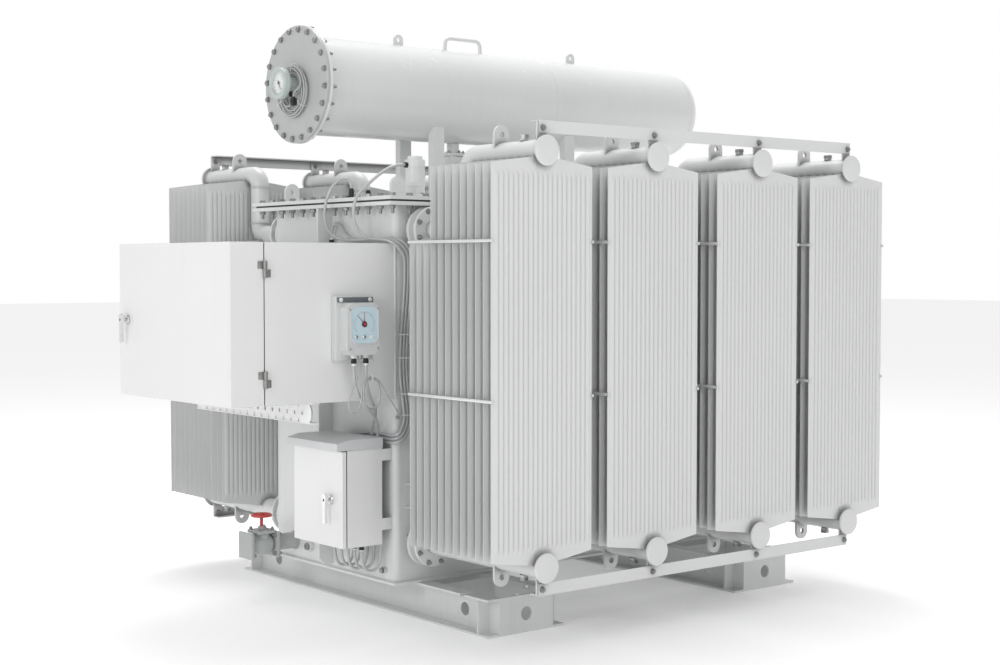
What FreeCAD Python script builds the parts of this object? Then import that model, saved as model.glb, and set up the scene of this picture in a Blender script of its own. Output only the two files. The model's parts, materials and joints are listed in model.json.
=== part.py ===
"""Oil-filled power transformer with two rows of panel radiators, as a parametric assembly.

Millimetres, +Z up. The origin is on the ground, at the centre of the two cross skids. X runs
along the tank and its radiator rows, with the cable box at the -X end. -Y is the near side.
"""
import FreeCAD, Part
import math
import os
import re
import Sketcher

from FreeCAD import Placement, Rotation, Vector

SIZES = {
    # Cross skids
    "skid_pitch": 1480, "skid_length": 1970, "skid_height": 160, "skid_web_span": 294,
    "skid_foot_width": 61, "skid_web": 8, "skid_flange": 10, "skid_hole_radius": 29,
    "skid_web_hole_y": 754, "skid_inner_plate_y": 603, "skid_stiffener_y": 918,
    "skid_slot_y": 814, "skid_slot_length": 90, "skid_slot_width": 26,
    "anchor_y": 875, "anchor_radius": 11,
    # Tank and its bolted cover
    "tank_length": 2120, "tank_width": 980, "tank_top": 1788, "floor_plate": 12,
    "floor_margin": 14, "rim_end_margin": 75, "rim_side_margin": 78, "rim_plate": 16,
    "gasket": 8, "gasket_inset": 14, "rib_depth": 75, "rib_thickness": 14,
    "rib_foot_z": 190, "rib_chamfer": 28,
    # Radiators: panels on two headers
    "radiator_inner_x": 320, "radiator_outer_x": 927, "panel_width": 520, "panel_thickness": 10,
    "panel_pitch": 48, "short_first_y": 777, "short_count": 3,
    "tall_count": 9, "panel_foot": 383.5,  "shoulder_drop": 54,
    "panel_rise": 30, "panel_ridge": 90, "header_radius": 44.5, "top_header_rise": 193,
    "neck_drop": 104, "low_header_z": 341, "riser_offset": 1, "header_over": 35,
    "cap_radius": 60, "cap_thickness": 16, "riser_step": 1.5, "neck_gap": 1, "cut_gap": 0.3,
    "strip_height": 12, "strip_thickness": 4, "strip_top_z": 1627, "strip_low_z": 1008,
    # Shut-off valves between tank and radiator
    "stub_radius": 57, "stub_end_y": 528, "flange_radius": 100, "flange_thickness": 16,
    "valve_radius": 74, "valve_end_y": 595,
    # Lifting lugs and plugs on the headers
    "lug_y": 1047, "lug_width": 77, "lug_thickness": 12, "lug_rise": 77, "lug_hole_radius": 13,
    "plug_y": 1192, "plug_radius": 17, "plug_rise": 72,
    # Tie bars that join the radiators of one row
    "bar_length": 1892, "bar_leg": 50, "bar_thickness": 5, "bar_over": 1,
    "bar_top_z": 2100, "bar_low_z": 228, "bracket_width": 50, "bracket_thickness": 8,
    "bar_hole_radius": 7, "bar_top_bolt_z": 2071, "bar_low_bolt_z": 253,
    # Conservator
    "drum_y": 210, "drum_z": 2358, "drum_radius": 225, "drum_wall": 6, "drum_left": -1096,
    "drum_right": 1227, "head_crown": 405, "head_knuckle": 78,
    "drum_flange_radius": 267, "drum_flange": 16,
    "post_x": 415, "post_half_span": 135, "post_width": 65, "post_depth": 40,
    "post_base": 110, "post_base_plate": 12, "eye_left_x": -541, "eye_right_x": 554,
    "eye_width": 50, "eye_thickness": 12, "eye_rise": 52, "eye_hole_radius": 11,
    "grip_left_x": -262, "grip_right_x": -42, "grip_rise": 62, "grip_radius": 9,
    "oil_pipe_x": -213, "oil_pipe_radius": 30, "oil_flange_radius": 62,
    "oil_flange": 14, "relay_low_z": 1948, "relay_high_z": 2070, "relay_half": 55,
    # Oil level gauge on the end cover
    "gauge_neck_radius": 34, "gauge_depth": 101, "gauge_radius": 73, "gauge_case": 38,
    "gauge_gland_radius": 9, "gauge_gland_drop": 58, "gauge_gland_out": 28,
    # Cover fittings
    "eye_inset": 60, "relief_x": -856, "relief_y": -359, "relief_radius": 45, "relief_height": 169,
    "sensor_y": -193, "box_gland_reach": 25, "box_gland_y": -40,
    # Cable box
    "box_depth": 637, "box_low": 965, "box_drop": 161, "box_half_width": 490,
    "sheet": 3, "door_depth": 153, "door_gap": 5, "rail_reach": 419, "rail_height": 87,
    "rail_flange": 42, "rail_plate": 6, "hinge_radius": 9, "pin_radius": 5,
    "pin_clearance": 0.05, "knuckle": 34, "hinge_leaf": 3, "hinge_leaf_width": 30,
    "box_hinge_low_z": 1072, "box_hinge_high_z": 1517, "latch_y": 414, "latch_z": 1296,
    # Winding temperature indicator
    "plate_reach": 323, "plate_width": 188, "plate_low": 1139, "plate_high": 1407,
    "plate_depth": 38, "dial_inset": 17, "dial_width": 160, "dial_low": 1162,
    "dial_high": 1379, "dial_depth": 62, "dial_corner": 22, "strap_height": 20,
    "strap_thickness": 5, "strap_z": 1381,
    "gland_radius": 12, "gland_length": 44, "nipple_length": 14,
    # Control cabinet
    "cabinet_stand_off": 52, "cabinet_depth": 178, "cabinet_near": -468, "cabinet_far": -84,
    "cabinet_low": 341, "cabinet_high": 755, "cabinet_sheet": 2, "cabinet_door_depth": 19,
    "cabinet_gap": 5, "hood_overhang": 30, "hood_rise": 45, "hood_slope": 14,
    "hood_side": 6, "cabinet_hinge_low_z": 430, "cabinet_hinge_high_z": 650,
    "cabinet_latch_y": -377, "cabinet_latch_z": 542, "cabinet_bracket": 50,
    "cabinet_bracket_plate": 6, "cabinet_bracket_low_z": 402, "cabinet_bracket_high_z": 700,
    "loop_width": 75, "gland_drop": 28, "lane_pitch": 52,
    # Door levers
    "lock_radius": 22, "lock_depth": 8, "spindle_radius": 8, "lever_gap": 22,
    "lever_width": 24, "lever_thickness": 14, "lever_reach": 100, "lever_tail": 28,
    # Drain valve on the tank's end wall
    "drain_y": 322, "drain_z": 250, "drain_stub_radius": 38, "drain_reach": 267,
    "drain_flange": 120, "drain_plate": 16, "drain_body_radius": 48, "drain_bonnet": 96,
    "drain_bonnet_z": 318, "wheel_z": 384, "wheel_radius": 50, "wheel_rim": 7,
    "stem_radius": 8, "wheel_reach": 180, "drain_back_run": 115, "fitting_z": 208,
    "sample_y": 175, "earth_y": -419,
    # Cables
    "clip_top_drop": 283, "clip_upper_z": 1152, "clip_lower_z": 880, "clip_foot_z": 543,
    "hose_radius": 7, "clip_radius": 4, "clip_reach": 45, "clip_height": 110,
    "cable_radius": 3.5, "coil_drop": 33, "coil_outer": 128,
    "coil_depth": 36, "coil_gap": 2, "plug_side": 60, "plug_size": 24, "plug_length": 40,
    "plug_drop": 83, "capillary_radius": 2.5, "hank_x": -1240, "hank_y": -576, "hank_z": 999,
    "hank_half_width": 55, "hank_half_height": 77, "hank_band": 20, "hank_depth": 16,
    "pocket_inset": 10, "pocket_z": 884, "pocket_radius": 8, "pocket_depth": 12,
}

doc = FreeCAD.newDocument("PowerTransformer")
sheet = doc.addObject("Spreadsheet::Sheet", "Sizes")
for row, (alias, value) in enumerate(SIZES.items(), start=1):
    sheet.set(f"A{row}", alias)
    sheet.set(f"B{row}", str(value))
    sheet.setAlias(f"B{row}", alias)
doc.recompute()

WORD = re.compile(r"[a-z_]+[a-z]")
PARTS = []


def rule(text):
    """Turn a rule written with plain aliases into an expression on the sheet."""
    return WORD.sub(lambda m: "Sizes." + m.group() if m.group() in SIZES else m.group(), str(text))


def worth(text):
    """The number that a rule gives now."""
    return float(sheet.evalExpression(rule(text)))


def bind(thing, prop, text):
    thing.setExpression(prop, rule(text))


def place(thing, x=0, y=0, z=0):
    for axis, text in zip("xyz", (x, y, z)):
        bind(thing, "Placement.Base." + axis, text)
    return thing


def node(thing, name):
    """Mark an object as a finished sub-part, written out under this name."""
    thing.Label = name
    PARTS.append(thing)
    return thing


def block(name, x, y, z):
    """A box given by its low and high rule on each axis."""
    piece = doc.addObject("Part::Box", name)
    for prop, (low, high) in zip(("Length", "Width", "Height"), (x, y, z)):
        bind(piece, prop, f"({high}) - ({low})")
    return place(piece, x[0], y[0], z[0])


TURNS = {
    "x": Rotation(Vector(0, 1, 0), 90), "-x": Rotation(Vector(0, 1, 0), -90),
    "y": Rotation(Vector(1, 0, 0), -90), "-y": Rotation(Vector(1, 0, 0), 90),
    "z": Rotation(), "-z": Rotation(Vector(1, 0, 0), 180),
}


def rod(name, along, radius, start, length):
    """A cylinder from a start point along one axis."""
    piece = doc.addObject("Part::Cylinder", name)
    bind(piece, "Radius", radius)
    bind(piece, "Height", length)
    piece.Placement.Rotation = TURNS[along]
    return place(piece, *start)


def fuse(name, *pieces):
    joined = doc.addObject("Part::MultiFuse", name)
    joined.Shapes = list(pieces)
    joined.Refine = True
    return joined


def cut(name, base, *tools):
    taken = tools[0] if len(tools) == 1 else gather(name + "_tools", *tools)
    left = doc.addObject("Part::Cut", name)
    left.Base = base
    left.Tool = taken
    return left


def gather(name, *pieces):
    """Several like solids kept as one object."""
    group = doc.addObject("Part::Compound", name)
    group.Links = list(pieces)
    return group


PLANES = {"XY": "XY_Plane", "XZ": "XZ_Plane", "YZ": "YZ_Plane"}


def origin_feature(body, role):
    return next(item for item in body.Origin.OriginFeatures if item.Role == role)


def draw(body, name, plane, offset, corners):
    """A closed sketch whose corners are held to the sheet from the body's origin."""
    sketch = body.newObject("Sketcher::SketchObject", name)
    sketch.AttachmentSupport = [(origin_feature(body, PLANES[plane]), "")]
    sketch.MapMode = "FlatFace"
    bind(sketch, "AttachmentOffset.Base.z", offset)
    spots = [Vector(worth(across), worth(up), 0) for across, up in corners]
    for first, second in zip(spots, spots[1:] + spots[:1]):
        sketch.addGeometry(Part.LineSegment(first, second), False)
    count = len(spots)
    for index in range(count):
        sketch.addConstraint(Sketcher.Constraint("Coincident", index, 2, (index + 1) % count, 1))
    for index, (across, up) in enumerate(corners):
        for kind, text in (("DistanceX", across), ("DistanceY", up)):
            mark = sketch.addConstraint(
                Sketcher.Constraint(kind, -1, 1, index, 1, worth(text)))
            bind(sketch, f"Constraints[{mark}]", text)
    return sketch


def plate(name, plane, offset, thickness, corners):
    """A flat-sided body: an outline on one plane, padded by its thickness."""
    body = doc.addObject("PartDesign::Body", name)
    pad = body.newObject("PartDesign::Pad", name + "_pad")
    pad.Profile = draw(body, name + "_outline", plane, offset, corners)
    bind(pad, "Length", thickness)
    body.Tip = pad
    return body


# ---------------------------------------------------------------- skids

def skid(name, middle):
    """Two outward-facing channels, tied by plates across their webs."""
    half_web = "skid_web_span / 2"
    half_length = "skid_length / 2"
    reach = f"({half_web} + skid_foot_width)"
    pieces = []
    for side, sign in (("a", -1), ("b", 1)):
        web = sorted((f"{sign} * ({half_web} - skid_web)", f"{sign} * {half_web}"), key=worth)
        flange = sorted((f"{sign} * ({half_web} - skid_web)", f"{sign} * {reach}"), key=worth)
        groove = sorted((f"{sign} * {half_web}", f"{sign} * {reach}"), key=worth)
        run = (f"-{half_length}", half_length)
        pieces.append(block(f"{name}_web_{side}", web, run, (0, "skid_height")))
        pieces.append(block(f"{name}_foot_{side}", flange, run, (0, "skid_flange")))
        pieces.append(block(f"{name}_head_{side}", flange, run,
                            ("skid_height - skid_flange", "skid_height")))
        for end, way in (("near", -1), ("far", 1)):
            spot = f"{way} * skid_stiffener_y"
            pieces.append(block(f"{name}_stiffener_{side}_{end}", groove,
                                (f"{spot} - skid_web / 2", f"{spot} + skid_web / 2"),
                                (0, "skid_height")))
    inner = (f"skid_web - {half_web}", f"{half_web} - skid_web")
    for end, way in (("near", -1), ("far", 1)):
        for kind, outer in (("end", half_length), ("inner", "skid_inner_plate_y")):
            face = sorted((f"{way} * ({outer} - skid_flange)", f"{way} * {outer}"), key=worth)
            pieces.append(block(f"{name}_{kind}_{end}", inner, face, (0, "skid_height")))
    frame = fuse(name + "_frame", *pieces)
    holes = []
    reach_x = f"{half_web} + 2 * skid_foot_width"
    for end, way in (("near", -1), ("far", 1)):
        holes.append(rod(f"{name}_web_hole_{end}", "x", "skid_hole_radius",
                         (f"-({reach_x})", f"{way} * skid_web_hole_y", "skid_height / 2"),
                         f"2 * ({reach_x})"))
        holes.append(rod(f"{name}_end_hole_{end}", "y", "skid_hole_radius",
                         (0, f"{way} * {half_length} - 2 * skid_flange", "skid_height / 2"),
                         "4 * skid_flange"))
        for side, sign in (("a", -1), ("b", 1)):
            foot = f"{sign} * ({half_web} + skid_foot_width / 2)"
            holes.append(rod(f"{name}_anchor_{side}_{end}", "z", "anchor_radius",
                             (foot, f"{way} * anchor_y", "-skid_flange"), "3 * skid_flange"))
            slot_x = (f"{foot} - skid_slot_length / 2", f"{foot} + skid_slot_length / 2")
            holes.append(block(f"{name}_slot_{side}_{end}", slot_x,
                               (f"{way} * skid_slot_y - skid_slot_width / 2",
                                f"{way} * skid_slot_y + skid_slot_width / 2"),
                               ("skid_height - 2 * skid_flange", "skid_height + skid_flange")))
    return node(place(cut(name, frame, *holes), middle), name)


skid("skid_left", "-skid_pitch / 2")
skid("skid_right", "skid_pitch / 2")


# ---------------------------------------------------------------- tank

def centred(length):
    return (f"-({length}) / 2", f"({length}) / 2")


WALL_X = "-tank_length / 2"
BOX_HIGH = "(tank_top - box_drop)"
CLIP_TOP = "(tank_top - clip_top_drop)"
# Levels and rows of the radiators, from the tank top and the panel pitch
NECK_Z = "(tank_top - neck_drop)"
TOP_HEADER_Z = "(tank_top + top_header_rise)"
SHORT_SHOULDER = f"({NECK_Z} - shoulder_drop)"
TALL_SHOULDER = f"({TOP_HEADER_Z} - shoulder_drop)"
RISER_Y = "(short_first_y + short_count * panel_pitch / 2 - riser_offset)"
NECK_END_Y = "(short_first_y + (short_count - 1 / 2) * panel_pitch - neck_gap)"
TALL_FIRST_Y = "(short_first_y + short_count * panel_pitch)"
LAST_PANEL_Y = f"({TALL_FIRST_Y} + (tall_count - 1) * panel_pitch)"
HEADER_END_Y = f"({LAST_PANEL_Y} + header_over)"
BAR_FACE_Y = f"({LAST_PANEL_Y} + bar_over)"
RIM_LENGTH = "(tank_length + 2 * rim_end_margin)"
RIM_WIDTH = "(tank_width + 2 * rim_side_margin)"
RIM_TOP = "tank_top + rim_plate"
COVER_LOW = f"{RIM_TOP} + gasket"
COVER_TOP = f"{COVER_LOW} + rim_plate"
FLOOR_TOP = "skid_height + floor_plate"
node(fuse("tank",
          block("tank_floor", centred("tank_length + 2 * floor_margin"),
                centred("tank_width + 2 * floor_margin"), ("skid_height", FLOOR_TOP)),
          block("tank_walls", centred("tank_length"), centred("tank_width"),
                (FLOOR_TOP, "tank_top"))), "tank_body")
node(block("tank_rim_plate", centred(RIM_LENGTH), centred(RIM_WIDTH), ("tank_top", RIM_TOP)),
     "tank_rim")
node(block("tank_seal", centred(f"{RIM_LENGTH} - 2 * gasket_inset"),
           centred(f"{RIM_WIDTH} - 2 * gasket_inset"), (RIM_TOP, COVER_LOW)), "cover_gasket")
node(block("tank_lid", centred(RIM_LENGTH), centred(RIM_WIDTH), (COVER_LOW, COVER_TOP)),
     "tank_cover")


def rib(name, side, low, high, chamfer):
    """A flat bar on edge up the middle of an end wall, its lower outer corner cut off."""
    wall = f"{side} tank_length / 2"
    edge = f"{side} (tank_length / 2 + rib_depth)"
    outline = [(wall, low), (f"{edge} - ({side} {chamfer})", low), (edge, f"{low} + {chamfer}"),
               (edge, high), (wall, high)]
    return plate(name, "XZ", "-rib_thickness / 2", "rib_thickness", outline)


node(gather("ribs", rib("rib_low", "-", "rib_foot_z", "box_low", "rib_chamfer"),
            rib("rib_high", "-", BOX_HIGH, "tank_top", "rib_thickness"),
            rib("rib_right", "+", "rib_foot_z", "tank_top", "rib_chamfer")), "tank_ribs")


# ---------------------------------------------------------------- radiators

def header_run(name, height, start, end):
    """A level header along -Y, closed by a disc at its outer end."""
    tube = rod(name, "-y", "header_radius", (0, f"-({start})", height), f"({end}) - ({start})")
    disc = rod(name + "_disc", "-y", "cap_radius", (0, f"cap_thickness - ({end})", height),
               "cap_thickness")
    return [tube, disc]


def bracket(name, low, high, bolt):
    """The plate on a header's end that a tie bar bolts to."""
    inner = f"-({BAR_FACE_Y} - bar_thickness)"
    leaf = block(name, centred("bracket_width"), (inner, f"{inner} + bracket_thickness"),
                 (low, high))
    hole = rod(name + "_hole", "y", "bar_hole_radius",
               (0, f"{inner} - bracket_thickness", bolt), "3 * bracket_thickness")
    return cut(name + "_drilled", leaf, hole)


def header_pair(name, middle, turn):
    """Upper header with its gooseneck, and the straight lower header."""
    upper = header_run(name + "_top", TOP_HEADER_Z, f"{RISER_Y} - header_radius", HEADER_END_Y)
    upper += header_run(name + "_neck", NECK_Z, "valve_end_y", NECK_END_Y)
    upper.append(rod(name + "_riser", "z", "header_radius - riser_step",
                     (0, f"-{RISER_Y}", NECK_Z), f"{TOP_HEADER_Z} - {NECK_Z}"))
    upper.append(rod(name + "_vent", "z", "plug_radius", (0, "-plug_y", TOP_HEADER_Z),
                     "plug_rise"))
    upper.append(bracket(name + "_top_bracket", TOP_HEADER_Z, "bar_top_z - bar_thickness",
                         "bar_top_bolt_z"))
    lower = header_run(name + "_low", "low_header_z", "valve_end_y", HEADER_END_Y)
    lower.append(rod(name + "_drain", "-z", "plug_radius", (0, "-plug_y", "low_header_z"),
                     "plug_rise"))
    lower.append(bracket(name + "_low_bracket", "bar_low_z + bar_thickness", "low_header_z",
                         "bar_low_bolt_z"))
    pair = gather(name, fuse(name + "_upper", *upper), fuse(name + "_lower", *lower))
    pair.Placement.Rotation = turn
    return node(place(pair, middle), name)


def panel_bank(name, first, count, shoulder):
    """Flat panels with roof-shaped ends, patterned along Y."""
    half = "panel_width / 2"
    crest = "panel_ridge / 2"
    corners = [(f"-{half}", "panel_foot"), (f"-{crest}", "panel_foot - panel_rise"),
               (crest, "panel_foot - panel_rise"), (half, "panel_foot"), (half, shoulder),
               (crest, f"{shoulder} + panel_rise"), (f"-{crest}", f"{shoulder} + panel_rise"),
               (f"-{half}", shoulder)]
    body = doc.addObject("PartDesign::Body", name)
    body.AllowCompound = True
    pad = body.newObject("PartDesign::Pad", name + "_pad")
    pad.Profile = draw(body, name + "_outline", "XZ", f"{first} - panel_thickness / 2", corners)
    bind(pad, "Length", "panel_thickness")
    doc.recompute()
    row = body.newObject("PartDesign::LinearPattern", name + "_row")
    row.Originals = [pad]
    row.Direction = (origin_feature(body, "Y_Axis"), [""])
    row.Reversed = True
    bind(row, "Length", f"panel_pitch * ({count} - 1)")
    bind(row, "Occurrences", count)
    body.Tip = row
    return body


def radiator(name, middle, turn):
    """Tall and short panels, open round the headers that pass through them."""
    bore = "header_radius + cut_gap"
    tall = cut(name + "_tall_cut", panel_bank(name + "_tall", TALL_FIRST_Y, "tall_count",
                                              TALL_SHOULDER),
               rod(name + "_top_bore", "-y", bore, (0, f"-{RISER_Y}", TOP_HEADER_Z),
                   f"{HEADER_END_Y} - {RISER_Y}"),
               rod(name + "_low_bore", "-y", bore, (0, f"-{RISER_Y}", "low_header_z"),
                   f"{HEADER_END_Y} - {RISER_Y}"))
    short = cut(name + "_short_cut", panel_bank(name + "_short", "short_first_y", "short_count",
                                                SHORT_SHOULDER),
                rod(name + "_neck_bore", "-y", bore, (0, "-valve_end_y", NECK_Z),
                    f"{NECK_END_Y} - valve_end_y"),
                rod(name + "_foot_bore", "-y", bore, (0, "-valve_end_y", "low_header_z"),
                    f"{NECK_END_Y} - valve_end_y"))
    stack = gather(name, tall, short)
    stack.Placement.Rotation = turn
    return node(place(stack, middle), name)


def valve(name, middle, height, turn):
    """Wall stub, tank flange, valve body and radiator flange, bolted as one pack."""
    second = "valve_end_y - flange_thickness"
    pack = fuse(name,
                rod(name + "_stub", "-y", "stub_radius", (0, "-tank_width / 2", height),
                    "stub_end_y - tank_width / 2"),
                rod(name + "_tank_flange", "-y", "flange_radius", (0, "-stub_end_y", height),
                    "flange_thickness"),
                rod(name + "_body", "-y", "valve_radius", (0, "-stub_end_y", height),
                    "valve_end_y - stub_end_y"),
                rod(name + "_radiator_flange", "-y", "flange_radius",
                    (0, f"-({second})", height), "flange_thickness"))
    pack.Placement.Rotation = turn
    return place(pack, middle)


def lug(name, middle, height, way, turn):
    """A rounded eye plate on a header, upright or hanging."""
    rise = f"{height} {way} lug_rise"
    span = sorted((height, rise), key=worth)
    back = ("-lug_y - lug_thickness / 2", "-lug_y + lug_thickness / 2")
    body = fuse(name + "_body", block(name + "_leaf", centred("lug_width"), back, span),
                rod(name + "_round", "y", "lug_width / 2", (0, back[0], rise), "lug_thickness"))
    eye = cut(name, body,
              rod(name + "_hole", "y", "lug_hole_radius",
                  (0, f"{back[0]} - lug_thickness", rise), "3 * lug_thickness"),
              rod(name + "_seat", "y", "header_radius + cut_gap",
                  (0, f"{back[0]} - lug_thickness", height), "3 * lug_thickness"))
    eye.Placement.Rotation = turn
    return place(eye, middle)


def strips(name, middle, turn):
    """Flat bars welded across the panel edges, both sides, at two heights."""
    inner = "short_first_y - panel_thickness"
    outer = f"{TALL_FIRST_Y} + panel_pitch * (tall_count - 1) + panel_thickness"
    made = []
    for side, sign in (("a", -1), ("b", 1)):
        across = sorted((f"{sign} * panel_width / 2",
                         f"{sign} * (panel_width / 2 + strip_thickness)"), key=worth)
        for level in ("strip_top_z", "strip_low_z"):
            made.append(block(f"{name}_{side}_{level}", across, (f"-({outer})", f"-({inner})"),
                              (f"{level} - strip_height / 2", f"{level} + strip_height / 2")))
    group = gather(name, *made)
    group.Placement.Rotation = turn
    return place(group, middle)


ROWS = (("near", Rotation()), ("far", Rotation(Vector(0, 0, 1), 180)))
PLACES = ("-radiator_outer_x", "-radiator_inner_x", "radiator_inner_x", "radiator_outer_x")
valves = []
lugs = []
ties = []
for row_name, turn in ROWS:
    for number, middle in enumerate(PLACES, start=1):
        tag = f"{row_name}_{number}"
        radiator("radiator_" + tag, middle, turn)
        header_pair("header_" + tag, middle, turn)
        valves.append(valve("valve_neck_" + tag, middle, NECK_Z, turn))
        valves.append(valve("valve_low_" + tag, middle, "low_header_z", turn))
        lugs.append(lug("lug_top_" + tag, middle, TOP_HEADER_Z, "+", turn))
        lugs.append(lug("lug_low_" + tag, middle, "low_header_z", "-", turn))
        ties.append(strips("strips_" + tag, middle, turn))
node(gather("valves", *valves), "radiator_valves")
node(gather("lugs", *lugs), "header_lugs")
node(gather("ties", *ties), "radiator_strips")


def tie_bar(name, turn, low, leg, bolt):
    """An angle bar along a row; its level leg points in, at the top or the bottom."""
    face = f"-{BAR_FACE_Y}"
    upright = block(name + "_leg", centred("bar_length"), (face, f"{face} + bar_thickness"),
                    (low, f"{low} + bar_leg"))
    level = block(name + "_ledge", centred("bar_length"), (face, f"{face} + bar_leg"), leg)
    holes = [rod(f"{name}_hole_{number}", "y", "bar_hole_radius",
                 (middle, f"{face} - bar_thickness", bolt), "3 * bar_thickness")
             for number, middle in enumerate(PLACES)]
    bar = cut(name, fuse(name + "_angle", upright, level), *holes)
    bar.Placement.Rotation = turn
    return bar


for row_name, turn in ROWS:
    top = tie_bar(f"tie_bar_{row_name}_top", turn, "bar_top_z - bar_leg",
                  ("bar_top_z - bar_thickness", "bar_top_z"), "bar_top_bolt_z")
    low = tie_bar(f"tie_bar_{row_name}_low", turn, "bar_low_z",
                  ("bar_low_z", "bar_low_z + bar_thickness"), "bar_low_bolt_z")
    node(gather(f"bars_{row_name}", top, low), f"tie_bars_{row_name}")


# ---------------------------------------------------------------- conservator

DRUM_AXIS = ("drum_y", "drum_z")


def drum_rod(name, radius, start, length):
    return rod(name, "x", radius, (start, *DRUM_AXIS), length)


BARREL = "drum_right - drum_left"
drum_body = fuse("drum_body", drum_rod("drum_tube", "drum_radius", "drum_left", BARREL),
                 drum_rod("drum_collar", "drum_flange_radius", "drum_left", "drum_flange"))
node(cut("drum", drum_body, drum_rod("drum_hollow", "drum_radius - drum_wall",
                                     "drum_left - drum_wall", f"{BARREL} + 2 * drum_wall")),
     "conservator_shell")
node(drum_rod("drum_cover", "drum_flange_radius", "drum_left - drum_flange", "drum_flange"),
     "conservator_cover")


def dished_edges(crown, knuckle, radius, offset):
    """Knuckle and crown arcs of a dished end, drawn in by an offset."""
    rise = crown - math.sqrt((crown - knuckle) ** 2 - (radius - knuckle) ** 2)
    crown_centre = Vector(rise - crown, 0, 0)
    knuckle_centre = Vector(0, radius - knuckle, 0)
    outward = (knuckle_centre - crown_centre).normalize()
    meet = knuckle_centre + outward * (knuckle - offset)
    start = Vector(0, radius - offset, 0)
    tip = Vector(rise - offset, 0, 0)
    knuckle_way = (outward + Vector(0, 1, 0)).normalize()
    crown_way = (outward + Vector(1, 0, 0)).normalize()
    arcs = [Part.Arc(start, knuckle_centre + knuckle_way * (knuckle - offset), meet),
            Part.Arc(meet, crown_centre + crown_way * (crown - offset), tip)]
    return [arc.toShape() for arc in arcs], start, tip


def drum_head(name):
    """A dished end, hollow, welded onto the barrel."""
    form = [worth(alias) for alias in ("head_crown", "head_knuckle", "drum_radius")]
    outer, outer_start, outer_tip = dished_edges(*form, 0)
    inner, inner_start, inner_tip = dished_edges(*form, worth("drum_wall"))
    joins = [Part.LineSegment(outer_tip, inner_tip).toShape(),
             Part.LineSegment(inner_start, outer_start).toShape()]
    profile = Part.Wire(Part.__sortEdges__(outer + inner + joins))
    piece = doc.addObject("Part::Feature", name)
    piece.Shape = Part.Face(profile).revolve(Vector(), Vector(1, 0, 0), 360)
    return place(piece, "drum_right", *DRUM_AXIS)


node(drum_head("drum_end"), "conservator_head")


def post(name, x, way):
    """An upright on the cover, shaped to the drum's underside."""
    y = f"drum_y {way} post_half_span"
    leg = fuse(name + "_leg",
               block(name + "_tube", (f"{x} - post_width / 2", f"{x} + post_width / 2"),
                     (f"{y} - post_depth / 2", f"{y} + post_depth / 2"),
                     (COVER_TOP, "drum_z")),
               block(name + "_base", (f"{x} - post_base / 2", f"{x} + post_base / 2"),
                     (f"{y} - post_base / 2", f"{y} + post_base / 2"),
                     (COVER_TOP, f"{COVER_TOP} + post_base_plate")))
    return cut(name, leg, drum_rod(name + "_saddle", "drum_radius + cut_gap",
                                   f"{x} - post_base", "2 * post_base"))


node(gather("posts", *[post(f"post_{number}", x, way) for number, (x, way) in enumerate(
    (x, way) for x in ("-post_x", "post_x") for way in "-+")]), "conservator_supports")


def eye(name, x):
    """A lifting eye welded along the top of the drum."""
    top = "drum_z + drum_radius + eye_rise - eye_width / 2"
    back = ("drum_y - eye_thickness / 2", "drum_y + eye_thickness / 2")
    body = fuse(name + "_body",
                block(name + "_leaf", (f"{x} - eye_width / 2", f"{x} + eye_width / 2"), back,
                      ("drum_z + drum_radius - eye_thickness", top)),
                rod(name + "_round", "y", "eye_width / 2", (x, back[0], top), "eye_thickness"))
    return cut(name, body,
               rod(name + "_hole", "y", "eye_hole_radius",
                   (x, f"{back[0]} - eye_thickness", top), "3 * eye_thickness"),
               drum_rod(name + "_seat", "drum_radius + cut_gap", f"{x} - eye_width",
                        "2 * eye_width"))


drum_eyes = [eye("eye_left", "eye_left_x"), eye("eye_right", "eye_right_x")]


def path_of(points, share=0.45):
    """Straight runs joined by tangent arcs, each as large as its two runs allow."""
    edges = []
    start = points[0]
    for before, corner, after in zip(points, points[1:], points[2:]):
        into = corner - before
        out = after - corner
        turn = into.getAngle(out)
        run = share * min(into.Length, out.Length)
        into.normalize()
        out.normalize()
        first = corner - into * run
        last = corner + out * run
        bisector = (out - into).normalize()
        radius = run / math.tan(turn / 2)
        centre = corner + bisector * (radius / math.cos(turn / 2))
        middle = centre - bisector * radius
        RADII.append(radius)
        edges.append(Part.LineSegment(start, first).toShape())
        edges.append(Part.Arc(first, middle, last).toShape())
        start = last
    edges.append(Part.LineSegment(start, points[-1]).toShape())
    return Part.Wire(edges)


RADII = []


def hose(name, points, radius_alias):
    """A round solid swept along a path; its volume is checked against its length."""
    radius = worth(radius_alias)
    spots = [Vector(*point) for point in points]
    RADII.clear()
    spine = path_of(spots)
    first = (spots[1] - spots[0]).normalize()
    ring = Part.Wire([Part.Circle(spots[0], first, radius).toShape()])
    solid = spine.makePipeShell([ring], True, True)
    if solid.Volume < 0:
        solid.reverse()
    expected = math.pi * radius ** 2 * spine.Length
    print(f"{name}: length {spine.Length:.0f}, smallest bend {min(RADII):.0f}, "
          f"volume ratio {solid.Volume / expected:.4f}")
    piece = doc.addObject("Part::Feature", name)
    piece.Shape = solid
    return piece


def grip(name):
    """The bent-bar handle on top of the drum."""
    y = worth("drum_y")
    foot = worth("drum_z + drum_radius + cut_gap")
    top = worth("drum_z + drum_radius + grip_rise")
    left = worth("grip_left_x")
    right = worth("grip_right_x")
    return hose(name, [(left, y, foot), (left, y, top), (right, y, top), (right, y, foot)],
                "grip_radius")


node(grip("drum_grip"), "conservator_handle")


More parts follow.
